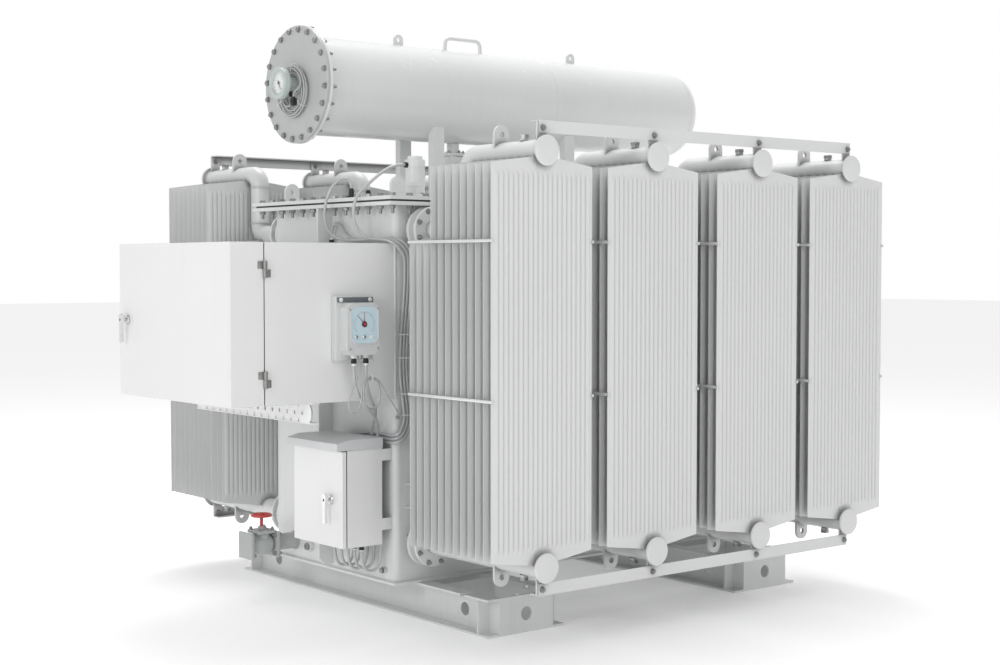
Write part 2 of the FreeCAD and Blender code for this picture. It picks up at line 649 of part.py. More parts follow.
def oil_pipe(name):
    """Pipe from the cover to the drum, with the gas relay between two flanges."""
    x = "oil_pipe_x"
    centre = (x, "drum_y")
    relay = ("oil_pipe_x - relay_half", "oil_pipe_x + relay_half")
    pieces = [rod(name + "_pipe", "z", "oil_pipe_radius", (*centre, COVER_TOP),
                  f"drum_z - drum_radius / 2 - ({COVER_TOP})"),
              block(name + "_relay", relay, ("drum_y - relay_half", "drum_y + relay_half"),
                    ("relay_low_z", "relay_high_z"))]
    for tag, level in (("low", "relay_low_z - oil_flange"), ("high", "relay_high_z"),
                       ("foot", COVER_TOP)):
        pieces.append(rod(f"{name}_flange_{tag}", "z", "oil_flange_radius", (*centre, level),
                          "oil_flange"))
    return cut(name, fuse(name + "_body", *pieces),
               drum_rod(name + "_seat", "drum_radius + cut_gap", "oil_pipe_x - drum_radius",
                        "2 * drum_radius"))


node(oil_pipe("relay_pipe"), "conservator_pipe")

GAUGE_BACK = "drum_left - drum_flange"
node(fuse("gauge",
          rod("gauge_neck", "-x", "gauge_neck_radius", (GAUGE_BACK, *DRUM_AXIS), "gauge_depth"),
          rod("gauge_head", "-x", "gauge_radius",
              (f"{GAUGE_BACK} - gauge_depth + gauge_case", *DRUM_AXIS), "gauge_case"),
          rod("gauge_gland", "-z", "gauge_gland_radius",
              (f"{GAUGE_BACK} - gauge_gland_out", *DRUM_AXIS), "gauge_gland_drop")),
     "oil_level_gauge")


# ---------------------------------------------------------------- cover fittings

def relief_device(name):
    """Pressure relief valve: a flanged base, a banded can and a side terminal."""
    spot = ("relief_x", "relief_y")
    return fuse(name,
                rod(name + "_base", "z", "relief_radius + 14", (*spot, COVER_TOP), "rim_plate"),
                rod(name + "_can", "z", "relief_radius", (*spot, COVER_TOP), "relief_height"),
                rod(name + "_lid", "z", "relief_radius - 12",
                    (*spot, f"{COVER_TOP} + relief_height"), "rim_plate"),
                rod(name + "_terminal", "-x", "gland_radius",
                    ("relief_x", "relief_y", f"{COVER_TOP} + relief_height - 2 * gland_radius"),
                    "relief_radius + gland_radius"))


node(relief_device("relief"), "pressure_relief_device")


def cover_eye(name, x, y):
    """A lifting plate that stands on the cover, with its hole across."""
    top = f"{COVER_TOP} + lug_rise - lug_width / 2 + lug_hole_radius"
    back = (f"{y} - lug_thickness / 2", f"{y} + lug_thickness / 2")
    return cut(name, fuse(name + "_body",
                          block(name + "_leaf", (f"{x} - lug_width / 2", f"{x} + lug_width / 2"),
                                back, (COVER_TOP, top)),
                          rod(name + "_round", "y", "lug_width / 2", (x, back[0], top),
                              "lug_thickness")),
               rod(name + "_hole", "y", "lug_hole_radius",
                   (x, f"{back[0]} - lug_thickness", top), "3 * lug_thickness"))


def sensor(name, x, y, height):
    """A thermometer pocket with its cable head."""
    return fuse(name, rod(name + "_seat", "z", "gland_radius + 10", (x, y, COVER_TOP), "gasket"),
                rod(name + "_head", "z", "gland_radius", (x, y, COVER_TOP), height))


cover_eyes = [cover_eye(f"cover_eye_{number}", x, y) for number, (x, y) in
              enumerate((x, y) for x in ("-tank_length / 2 + eye_inset",
                                         "tank_length / 2 - eye_inset")
                        for y in ("-tank_width / 2 + eye_inset", "tank_width / 2 - eye_inset"))]
node(gather("eyes", *drum_eyes, *cover_eyes), "lifting_lugs")
HEAD_RISE = "gland_length"
node(gather("cover_heads", sensor("sensor_level", "-tank_length / 2 - 20", "sensor_y", HEAD_RISE),
            sensor("sensor_oil", "-tank_length / 2 + 110", "sensor_y + 60", HEAD_RISE)),
     "cover_sensor_heads")


# ---------------------------------------------------------------- cable box

BOX_LEFT = f"({WALL_X} - box_depth)"
BOX_GLAND_X = f"({WALL_X} - box_gland_reach)"
RAIL_X = f"({WALL_X} - rail_reach)"
BOX_Y = ("-box_half_width", "box_half_width")
BOX_Z = ("box_low", BOX_HIGH)
INNER_Y = ("sheet - box_half_width", "box_half_width - sheet")
INNER_Z = ("box_low + sheet", f"{BOX_HIGH} - sheet")


def hinge_side(name, spot, level, leaf_x, leaf_y):
    """Fixed half of a hinge: leaf, lower knuckle and the pin that stands up from it."""
    return [block(name + "_leaf", leaf_x, leaf_y, (f"{level} - knuckle", level)),
            rod(name + "_knuckle", "z", "hinge_radius", (*spot, f"{level} - knuckle"), "knuckle"),
            rod(name + "_pin", "z", "pin_radius", (*spot, f"{level} - knuckle"),
                "2 * knuckle - 1")]


def hinge_door(name, spot, level, leaf_x, leaf_y):
    """Moving half of a hinge: leaf and upper knuckle, before its bore is cut."""
    rise = (f"{level} + 1", f"{level} + knuckle")
    return [block(name + "_leaf", leaf_x, leaf_y, rise),
            rod(name + "_knuckle", "z", "hinge_radius", (*spot, rise[0]), "knuckle - 1")]


def hinge_bore(name, spot, level):
    return rod(name + "_bore", "z", "pin_radius + pin_clearance", (*spot, f"{level} - knuckle"),
               "3 * knuckle")


BOX_HINGE = (f"{BOX_LEFT} - door_gap / 2", "-(box_half_width + hinge_radius)")
BOX_LEVELS = ("box_hinge_low_z", "box_hinge_high_z")
BOX_GLAND = (BOX_GLAND_X, "box_gland_y")
box_parts = [cut("box_case", block("box_outside", (BOX_LEFT, WALL_X), BOX_Y, BOX_Z),
                 block("box_inside", (f"{BOX_LEFT} - sheet", f"{WALL_X} - sheet"), INNER_Y, INNER_Z))]
for number, level in enumerate(BOX_LEVELS):
    box_parts += hinge_side(f"box_hinge_{number}", BOX_HINGE, level,
                            (BOX_HINGE[0], f"{BOX_LEFT} + hinge_leaf_width"),
                            ("-(box_half_width + hinge_leaf)", "-box_half_width"))
box_parts.append(rod("box_gland", "z", "gland_radius", (*BOX_GLAND, BOX_HIGH), "gland_drop"))
node(fuse("box_shell", *box_parts), "cable_box")


def latched(name, parts, face, y, z, back):
    """Add a round lock plate to a door, with the seat of its lever's spindle."""
    parts.append(rod(name + "_lock", "-x", "lock_radius", (face, y, z), "lock_depth"))
    return [rod(name + "_seat", "-x", "spindle_radius + pin_clearance",
                (f"{face} + {back}", y, z), f"{back} + 2 * lock_depth")]


DOOR_BACK = f"{BOX_LEFT} - door_gap"
DOOR_FACE = f"{DOOR_BACK} - door_depth"
door_parts = [cut("door_pan", block("door_outside", (DOOR_FACE, DOOR_BACK), BOX_Y, BOX_Z),
                  block("door_inside", (f"{DOOR_FACE} + sheet", f"{DOOR_BACK} + sheet"),
                        INNER_Y, INNER_Z))]
door_cuts = latched("box_latch", door_parts, DOOR_FACE, "latch_y", "latch_z", "2 * sheet")
for number, level in enumerate(BOX_LEVELS):
    door_parts += hinge_door(f"door_hinge_{number}", BOX_HINGE, level,
                             (f"{DOOR_BACK} - hinge_leaf_width", BOX_HINGE[0]),
                             ("-(box_half_width + hinge_leaf)", "-box_half_width"))
    door_cuts.append(hinge_bore(f"door_hinge_{number}", BOX_HINGE, level))
node(cut("box_door", fuse("box_door_body", *door_parts), *door_cuts), "cable_box_door")


def lever(name, face, y, z, back):
    """A hanging lever handle on its spindle."""
    near = f"{face} - lever_gap"
    head = f"{z} + lever_tail - lever_width / 2"
    return fuse(name,
                rod(name + "_spindle", "-x", "spindle_radius", (f"{face} + {back} - 1", y, z),
                    f"{back} - 1 + lever_gap + lever_thickness / 2"),
                block(name + "_arm", (f"{near} - lever_thickness", near),
                      (f"{y} - lever_width / 2", f"{y} + lever_width / 2"),
                      (f"{z} - lever_reach", head)),
                rod(name + "_head", "-x", "lever_width / 2", (near, y, head),
                    "lever_thickness"))


node(lever("box_lever", DOOR_FACE, "latch_y", "latch_z", "2 * sheet"), "cable_box_handle")

RAIL_Z = ("box_low - rail_height", "box_low")
node(fuse("rail",
          block("rail_web", (RAIL_X, f"{RAIL_X} + rail_plate"), BOX_Y, RAIL_Z),
          block("rail_head", (RAIL_X, f"{RAIL_X} + rail_flange"), BOX_Y,
                ("box_low - rail_plate", "box_low")),
          block("rail_foot", (RAIL_X, f"{RAIL_X} + rail_flange"), BOX_Y,
                ("box_low - rail_height", "box_low - rail_height + rail_plate"))),
     "cable_box_rail")


# ---------------------------------------------------------------- temperature indicator

PLATE_LEFT = f"({WALL_X} - plate_reach)"
PLATE_RIGHT = f"({PLATE_LEFT} + plate_width)"
DIAL_LEFT = f"({PLATE_LEFT} + dial_inset)"
DIAL_RIGHT = f"({DIAL_LEFT} + dial_width)"
PLATE_FACE = "-(box_half_width + plate_depth)"
DIAL_FACE = f"{PLATE_FACE} - dial_depth"
node(fuse("back_plate",
          block("back_box", (PLATE_LEFT, PLATE_RIGHT), (PLATE_FACE, "-box_half_width"),
                ("plate_low", "plate_high")),
          block("strap", (f"{PLATE_LEFT} + strap_thickness", f"{PLATE_RIGHT} - strap_thickness"),
                (f"{PLATE_FACE} - strap_thickness", PLATE_FACE),
                ("strap_z", "strap_z + strap_height"))), "indicator_back_box")
DIAL_CORNERS = [(f"{DIAL_LEFT} + dial_corner", "dial_low"), (f"{DIAL_RIGHT} - dial_corner", "dial_low"),
                (DIAL_RIGHT, "dial_low + dial_corner"), (DIAL_RIGHT, "dial_high - dial_corner"),
                (f"{DIAL_RIGHT} - dial_corner", "dial_high"), (f"{DIAL_LEFT} + dial_corner", "dial_high"),
                (DIAL_LEFT, "dial_high - dial_corner"), (DIAL_LEFT, "dial_low + dial_corner")]
dial_case = plate("dial_case", "XZ", f"-({PLATE_FACE})", "dial_depth", DIAL_CORNERS)
GLAND_Y = f"{PLATE_FACE} - dial_depth / 2"
DIAL_GLANDS = (f"{DIAL_LEFT} + 50", f"{DIAL_RIGHT} - 50")
dial_glands = [rod(f"dial_gland_{number}", "-z", "gland_radius", (x, GLAND_Y, "dial_low + 10"),
                   "gland_length + 10") for number, x in enumerate(DIAL_GLANDS)]
dial_glands.append(rod("dial_nipple", "-z", "gland_radius / 2",
                       (f"({DIAL_LEFT} + {DIAL_RIGHT}) / 2", GLAND_Y, "dial_low + 10"),
                       "nipple_length + 10"))
node(fuse("indicator", dial_case, *dial_glands), "indicator_case")


# ---------------------------------------------------------------- control cabinet

CABINET_BACK = f"({WALL_X} - cabinet_stand_off)"
CABINET_FRONT = f"({CABINET_BACK} - cabinet_depth)"
CABINET_Y = ("cabinet_near", "cabinet_far")
CABINET_Z = ("cabinet_low", "cabinet_high")
CABINET_HINGE = (f"{CABINET_FRONT} - cabinet_gap / 2", "cabinet_far + hinge_radius")
CABINET_LEVELS = ("cabinet_hinge_low_z", "cabinet_hinge_high_z")
CABINET_LEAF_Y = ("cabinet_far", "cabinet_far + hinge_leaf")
case = block("cabinet_outside", (CABINET_FRONT, CABINET_BACK), CABINET_Y, CABINET_Z)
hollow = block("cabinet_inside", (f"{CABINET_FRONT} - sheet", f"{CABINET_BACK} - cabinet_sheet"),
               ("cabinet_near + cabinet_sheet", "cabinet_far - cabinet_sheet"),
               ("cabinet_low + cabinet_sheet", "cabinet_high - cabinet_sheet"))
LANES = tuple(f"cabinet_near + lane_pitch * {number} - 4" for number in range(1, 6))
LANE_X = f"{CABINET_BACK} - loop_width"
cabinet_parts = [cut("cabinet_case", case, hollow)]
for number, level in enumerate(CABINET_LEVELS):
    cabinet_parts += hinge_side(f"cabinet_hinge_{number}", CABINET_HINGE, level,
                                (CABINET_HINGE[0], f"{CABINET_FRONT} + hinge_leaf_width"),
                                CABINET_LEAF_Y)
cabinet_parts += [rod(f"cabinet_gland_{number}", "-z", "gland_radius",
                      (LANE_X, lane, "cabinet_low + cabinet_sheet"),
                      "gland_drop + cabinet_sheet") for number, lane in enumerate(LANES)]
cabinet_parts += [
    block(f"cabinet_foot_{level}_{side}", (f"{CABINET_BACK} - cabinet_sheet", WALL_X), span,
          (f"cabinet_bracket_{level}_z", f"cabinet_bracket_{level}_z + cabinet_bracket"))
    for level in ("low", "high")
    for side, span in (("near", ("cabinet_near", "cabinet_near + cabinet_bracket_plate")),
                       ("far", ("cabinet_far - cabinet_bracket_plate", "cabinet_far")))]
node(fuse("cabinet_shell", *cabinet_parts), "control_box")

CABINET_DOOR_BACK = f"{CABINET_FRONT} - cabinet_gap"
CABINET_DOOR_FACE = f"{CABINET_DOOR_BACK} - cabinet_door_depth"
CABINET_DOOR_Z = ("cabinet_low", "cabinet_high - cabinet_gap")
cabinet_door_parts = [cut("cabinet_door_pan",
                          block("cabinet_door_outside", (CABINET_DOOR_FACE, CABINET_DOOR_BACK),
                                CABINET_Y, CABINET_DOOR_Z),
                          block("cabinet_door_inside",
                                (f"{CABINET_DOOR_FACE} + cabinet_sheet",
                                 f"{CABINET_DOOR_BACK} + cabinet_sheet"),
                                ("cabinet_near + cabinet_sheet", "cabinet_far - cabinet_sheet"),
                                (f"{CABINET_DOOR_Z[0]} + cabinet_sheet",
                                 f"{CABINET_DOOR_Z[1]} - cabinet_sheet")))]
cabinet_door_cuts = latched("cabinet_latch", cabinet_door_parts, CABINET_DOOR_FACE,
                            "cabinet_latch_y", "cabinet_latch_z", "2 * sheet")
for number, level in enumerate(CABINET_LEVELS):
    cabinet_door_parts += hinge_door(f"cabinet_door_hinge_{number}", CABINET_HINGE, level,
                                     (f"{CABINET_DOOR_BACK} - cabinet_door_depth",
                                      CABINET_HINGE[0]), CABINET_LEAF_Y)
    cabinet_door_cuts.append(hinge_bore(f"cabinet_door_hinge_{number}", CABINET_HINGE, level))
node(cut("cabinet_door", fuse("cabinet_door_body", *cabinet_door_parts), *cabinet_door_cuts),
     "control_box_door")
node(lever("cabinet_lever", CABINET_DOOR_FACE, "cabinet_latch_y", "cabinet_latch_z",
           "2 * sheet"), "control_box_handle")

HOOD_FRONT = f"{CABINET_DOOR_FACE} - hood_overhang"
hood = doc.addObject("PartDesign::Body", "hood")
hood_pad = hood.newObject("PartDesign::Pad", "hood_pad")
hood_pad.Profile = draw(hood, "hood_profile", "XZ", "hood_side - cabinet_near", [
    (HOOD_FRONT, "cabinet_high"), (CABINET_BACK, "cabinet_high"),
    (CABINET_BACK, "cabinet_high + hood_rise"),
    (f"{HOOD_FRONT} + hood_overhang * 2", "cabinet_high + hood_rise"),
    (HOOD_FRONT, "cabinet_high + hood_rise - hood_slope")])
hood_pad.Reversed = True
bind(hood_pad, "Length", "cabinet_far - cabinet_near + 2 * hood_side")
hood.Tip = hood_pad
node(hood, "control_box_hood")


# ---------------------------------------------------------------- drain valve and fittings

DRAIN_FACE = f"({WALL_X} - drain_reach)"
WHEEL_X = f"({WALL_X} - wheel_reach)"
POCKET_X = f"({WALL_X} + pocket_inset)"


def drain_body(name):
    """Gate valve on the end wall, blanked by a square flange."""
    half = "drain_flange / 2"
    square_y = (f"drain_y - {half}", f"drain_y + {half}")
    square_z = (f"drain_z - {half}", f"drain_z + {half}")
    bonnet = "drain_bonnet / 2"
    axis = ("drain_y", "drain_z")
    body = fuse(name + "_body",
                rod(name + "_stub", "-x", "drain_stub_radius", (WALL_X, *axis),
                    "drain_back_run"),
                block(name + "_back", (f"{WALL_X} - drain_back_run - drain_plate",
                                       f"{WALL_X} - drain_back_run"), square_y, square_z),
                rod(name + "_barrel", "-x", "drain_body_radius",
                    (f"{WALL_X} - drain_back_run", *axis),
                    f"({WALL_X}) - drain_back_run - {DRAIN_FACE}"),
                block(name + "_face", (DRAIN_FACE, f"{DRAIN_FACE} + drain_plate"), square_y,
                      square_z),
                block(name + "_neck",
                      (f"{WHEEL_X} - drain_stub_radius", f"{WHEEL_X} + drain_stub_radius"),
                      ("drain_y - drain_stub_radius", "drain_y + drain_stub_radius"),
                      ("drain_z", "drain_bonnet_z")),
                block(name + "_bonnet", (f"{WHEEL_X} - {bonnet}", f"{WHEEL_X} + {bonnet}"),
                      (f"drain_y - {bonnet}", f"drain_y + {bonnet}"),
                      ("drain_bonnet_z - drain_plate", "drain_bonnet_z")),
                rod(name + "_gland", "z", "2 * stem_radius", (WHEEL_X, "drain_y",
                                                            "drain_bonnet_z"), "drain_plate"))
    return cut(name, body, rod(name + "_stem_bore", "z", "stem_radius + pin_clearance",
                               (WHEEL_X, "drain_y", "drain_bonnet_z - drain_plate"),
                               "3 * drain_plate"))


node(drain_body("drain"), "drain_valve")


def handwheel(name):
    """Rim, three spokes, hub and the stem that turns in the valve's gland."""
    spot = (WHEEL_X, "drain_y")
    rim = doc.addObject("Part::Torus", name + "_rim")
    bind(rim, "Radius1", "wheel_radius - wheel_rim")
    bind(rim, "Radius2", "wheel_rim")
    place(rim, *spot, "wheel_z")
    pieces = [rim, rod(name + "_hub", "z", "2 * wheel_rim", (*spot, "wheel_z - 2 * wheel_rim"),
                       "3 * wheel_rim"),
              rod(name + "_stem", "z", "stem_radius", (*spot, "drain_bonnet_z"),
                  "wheel_z - drain_bonnet_z")]
    for number in range(3):
        spoke = doc.addObject("Part::Cylinder", f"{name}_spoke_{number}")
        bind(spoke, "Radius", "wheel_rim * 0.6")
        bind(spoke, "Height", "wheel_radius - wheel_rim")
        spoke.Placement.Rotation = (Rotation(Vector(0, 0, 1), 120 * number) * TURNS["x"])
        pieces.append(place(spoke, *spot, "wheel_z"))
    return fuse(name, *pieces)


node(handwheel("wheel"), "drain_handwheel")

node(gather("wall_fittings",
            rod("sample_plug", "-x", "plug_radius + 6", (WALL_X, "sample_y", "fitting_z + 33"),
                "2 * plug_radius"),
            rod("earth_boss", "-x", "plug_radius - 3", (WALL_X, "earth_y", "fitting_z + 10"),
                "2 * plug_radius"),
            rod("bulb_pocket", "-y", "pocket_radius", (POCKET_X, "-tank_width / 2", "pocket_z"),
                "pocket_depth")), "tank_wall_fittings")


# ---------------------------------------------------------------- cables

def clip(name, x, height):
    """A U-shaped rod on the near wall that the cables are tied to."""
    level = worth(height)
    wall = worth("-tank_width / 2")
    out = worth("-tank_width / 2 - clip_reach + clip_radius")
    half = worth("clip_height / 2 - clip_radius")
    return hose(name, [(x, wall, level - half), (x, out, level - half),
                       (x, out, level + half), (x, wall, level + half)], "clip_radius")


CLIPS = ((-978, CLIP_TOP), (-1003, "clip_upper_z"), (-979, "clip_lower_z"),
         (-1000, "clip_foot_z"))
node(gather("clips", *[clip(f"clip_{number}", x, height)
                       for number, (x, height) in enumerate(CLIPS)]), "cable_clips")


# The tied bundle down the near wall: each point, and the step from one cable to the next
TRUNK = [((-1080, -425, 1645), (-16, 0, 0)), ((-1073, -508, 1652), (-16, -4, -5)),
         ((-1032, -530, 1630), (-16, 0, -11)), ((-1000, -525, 1588), (-16, 0, -8)),
         ((-991, -513, 1525), (-16, 0, 0)), ((-994, -514, 1420), (-16, 0, 0)),
         ((-1006, -513, 1300), (-16, 0, 0)), ((-1016, -514, 1190), (-16, 0, 0)),
         ((-1018, -513, 1085), (-16, 0, 0)), ((-1008, -514, 985), (-16, 0, 0)),
         ((-993, -513, 900), (-16, 0, 0)), ((-1001, -517, 840), (-16, 0, 10)),
         ((-1038, -525, 790), (-10, -1, 15)), ((-1076, -508, 776), (-1, 0, 16)),
         ((-1073, -450, 775), (0, 0, 16))]
FEEDS = {
    "cable_from_box": [(-1085, -40, 1655), (-1085, -40, 1692), (-1083, -64, 1724),
                       (-1080, -104, 1714), (-1078, -142, 1670), (-1078, -200, 1645),
                       (-1082, -310, 1646)],
    "cable_from_sensor": [(-1080, -193, 1872), (-1080, -193, 1900), (-1108, -184, 1920),
                          (-1150, -170, 1898), (-1176, -148, 1840), (-1182, -130, 1770),
                          (-1166, -116, 1705), (-1132, -124, 1662), (-1101, -162, 1645),
                          (-1096, -240, 1644), (-1099, -340, 1646)],
    "cable_from_relief": [(-913, -359, 1973), (-962, -359, 1973), (-1036, -360, 1936),
                          (-1100, -357, 1886), (-1160, -352, 1836), (-1178, -345, 1758),
                          (-1158, -346, 1690), (-1124, -370, 1652)],
}
INDICATOR_FEEDS = {
    "cable_from_dial_left": [(-1316, -559, 1118), (-1316, -559, 1072), (-1296, -551, 1008),
                             (-1248, -534, 948), (-1186, -508, 903), (-1132, -462, 868),
                             (-1104, -424, 826), (-1099, -421, 760)],
    "cable_from_dial_right": [(-1256, -559, 1118), (-1256, -559, 1070), (-1238, -547, 1014),
                              (-1204, -524, 965), (-1160, -490, 925), (-1122, -434, 892),
                              (-1102, -384, 848), (-1099, -368, 785)],
}


def trunk_run(step, lane):
    """One cable of the bundle, then its turn down into its own lane behind the cabinet."""
    points = [tuple(spot + step * more for spot, more in zip(point, spread))
              for point, spread in TRUNK]
    level = points[-1][2]
    return points + [(-1075, lane - 32, level - 1), (-1077, lane - 2, level - 44)]


def final_loop(lane, low):
    """Down the gap behind the cabinet, under it and up into a gland."""
    gland_x = worth(LANE_X)
    gland_z = worth("cabinet_low - gland_drop")
    return [(-1092, lane + 1, 600), (-1090, lane - 1, 450), (-1086, lane, 335),
            (-1087, lane, 266), (-1110, lane, low), (gland_x + 24, lane, low),
            (gland_x, lane, 266), (gland_x, lane, gland_z)]


lanes = [worth(lane) for lane in LANES]
runs = []
for (name, points), lane, low in zip(INDICATOR_FEEDS.items(), lanes, (222, 228)):
    runs.append(hose(name, points + final_loop(lane, low), "hose_radius"))
for step, ((name, points), lane, low) in enumerate(
        zip(FEEDS.items(), lanes[2:], (217, 226, 220))):
    runs.append(hose(name, points + trunk_run(step, lane) + final_loop(lane, low),
                     "hose_radius"))
node(gather("hoses", *runs), "control_cables")


# Spare cable of the oil gauge: a coil hung on its neck, with a plug on the free end
COIL_X = f"{GAUGE_BACK} - coil_gap"
COIL_CENTRE = ("drum_y", "drum_z - coil_drop")
node(cut("coil", rod("coil_outside", "-x", "coil_outer", (COIL_X, *COIL_CENTRE), "coil_depth"),
         rod("coil_inside", "-x", "gauge_neck_radius + coil_drop + cut_gap",
             (f"{COIL_X} + coil_gap / 2", *COIL_CENTRE), "coil_depth + coil_gap")),
     "gauge_cable_coil")
node(rod("coil_lead", "-z", "cable_radius",
         (f"{GAUGE_BACK} - gauge_gland_out", "drum_y", "drum_z - gauge_gland_drop"),
         "gauge_neck_radius + 2 * coil_drop + 2 - gauge_gland_drop"), "gauge_cable_lead")
node(block("coil_plug", (f"{COIL_X} - coil_depth - plug_size", f"{COIL_X} - coil_depth"),
           ("drum_y - plug_side - plug_size / 2", "drum_y - plug_side + plug_size / 2"),
           ("drum_z - plug_drop - plug_length / 2", "drum_z - plug_drop + plug_length / 2")),
     "gauge_cable_plug")


def stadium(name, half_width, half_height, near, depth):
    """An upright slot shape along Y."""
    straight = f"({half_height} - ({half_width}))"
    ends = [rod(f"{name}_{tag}", "y", half_width, ("hank_x", near, f"hank_z {way} {straight}"),
                depth) for tag, way in (("low", "-"), ("high", "+"))]
    middle = block(name + "_middle", (f"hank_x - ({half_width})", f"hank_x + ({half_width})"),
                   (near, f"{near} + {depth}"), (f"hank_z - {straight}", f"hank_z + {straight}"))
    return fuse(name, middle, *ends)


HANK_NEAR = "hank_y - hank_depth / 2"
node(cut("hank", stadium("hank_outside", "hank_half_width", "hank_half_height", HANK_NEAR,
                         "hank_depth"),
         stadium("hank_inside", "hank_half_width - hank_band", "hank_half_height - hank_band",
                 f"{HANK_NEAR} - hank_depth", "3 * hank_depth")), "capillary_coil")
node(hose("hank_feed", [(-1286, -559, 1148), (-1286, -559, 1122), (-1300, -567, 1074),
                        (-1330, -575, 1022), (-1357, -577, 976), (-1353, -577, 937),
                        (-1329, -577, 920), (-1304, -577, 938), (-1290, -577, 978)],
          "capillary_radius"), "capillary_loop")
node(hose("hank_lead", [(-1205, -576, 1054), (-1182, -574, 1030), (-1150, -567, 985),
                        (-1112, -556, 942), (-1076, -541, 906), (-1051, -524, 885),
                        (-1050, -502, 884)], "capillary_radius"), "capillary_lead")


# ---------------------------------------------------------------- check and write

doc.recompute()
faults = [thing.Name for thing in doc.Objects if {"Invalid", "Error"} & set(thing.State)]
faults += [thing.Label for thing in PARTS if thing.Shape.isNull() or not thing.Shape.isValid()]
if faults:
    raise SystemExit("failed: " + ", ".join(faults))
os.makedirs("parts", exist_ok=True)
for thing in PARTS:
    thing.Shape.exportStep(f"parts/{thing.Label}.step")
    box = thing.Shape.BoundBox
    print(f"{thing.Label}: {len(thing.Shape.Solids)} solids, "
          f"{thing.Shape.Volume / 1e6:.2f} litres, "
          f"X {box.XMin:.0f}..{box.XMax:.0f}, Y {box.YMin:.0f}..{box.YMax:.0f}, "
          f"Z {box.ZMin:.0f}..{box.ZMax:.0f}")
print(len(PARTS), "sub-parts")
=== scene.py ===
"""Looks of the power transformer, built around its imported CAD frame. Metres, +Z up.

The near side is -Y and the cable box is at the -X end.
"""
import json
import math

import bmesh
import bpy
import numpy as np
from mathutils import Matrix, Vector

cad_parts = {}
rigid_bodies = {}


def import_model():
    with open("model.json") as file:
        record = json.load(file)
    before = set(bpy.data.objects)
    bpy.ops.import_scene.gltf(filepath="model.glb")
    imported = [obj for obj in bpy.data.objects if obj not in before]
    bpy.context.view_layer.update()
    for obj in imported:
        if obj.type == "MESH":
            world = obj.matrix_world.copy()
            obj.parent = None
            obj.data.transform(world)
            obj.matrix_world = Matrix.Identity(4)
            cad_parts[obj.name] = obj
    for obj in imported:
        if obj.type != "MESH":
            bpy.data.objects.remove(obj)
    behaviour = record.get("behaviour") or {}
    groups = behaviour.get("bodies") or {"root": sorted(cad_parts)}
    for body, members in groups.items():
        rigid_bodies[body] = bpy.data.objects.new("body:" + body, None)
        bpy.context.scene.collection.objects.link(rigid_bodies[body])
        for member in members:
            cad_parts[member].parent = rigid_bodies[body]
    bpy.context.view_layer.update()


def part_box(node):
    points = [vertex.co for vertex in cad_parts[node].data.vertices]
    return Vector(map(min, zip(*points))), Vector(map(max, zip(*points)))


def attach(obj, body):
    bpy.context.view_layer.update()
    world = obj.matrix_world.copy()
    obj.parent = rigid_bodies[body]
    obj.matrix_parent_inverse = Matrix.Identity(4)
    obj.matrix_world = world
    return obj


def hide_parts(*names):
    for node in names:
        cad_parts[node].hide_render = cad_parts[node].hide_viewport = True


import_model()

BODY = "transformer"
X_AXIS = Vector((1, 0, 0))
Y_AXIS = Vector((0, 1, 0))
Z_AXIS = Vector((0, 0, 1))
SHADE_ANGLE = math.radians(32)
END_WALL = -1.060
SWAP_YZ = Matrix(((1, 0, 0, 0), (0, 0, 1, 0), (0, 1, 0, 0), (0, 0, 0, 1)))
MIRROR_Y = Matrix.Diagonal((1, -1, 1, 1))


# ---------------------------------------------------------------- camera, light and floor

EYE = (-5.014, -6.087, 1.522)
EYE_DIP = math.radians(2.3)
EYE_TURN = math.radians(-39)
LENS = 57.73
SENSOR_WIDTH = 36
FLOOR_REACH = 60
FLOOR_GLOW = 0.2
BRIGHT_SKY = (0.63, 0.78, 0.0)
SKY_LEVELS = {"From Min": -0.2, "From Max": 0.5, "To Min": 0.50, "To Max": 1.0}
LAMPS = {  # place, what it points at, size, power
    "key": ((-3.0, -8.5, 6.5), (0.2, -0.6, 0.8), 4.0, 120),
    "side": ((-9.0, -3.2, 3.6), (-0.4, -1.0, 1.1), 2.2, 135),
    "rim": ((1.0, 2.0, 9.0), (0.3, 0, 1.6), 5.0, 330),
}


def put(name, data):
    made = bpy.data.objects.new(name, data)
    bpy.context.scene.collection.objects.link(made)
    return made


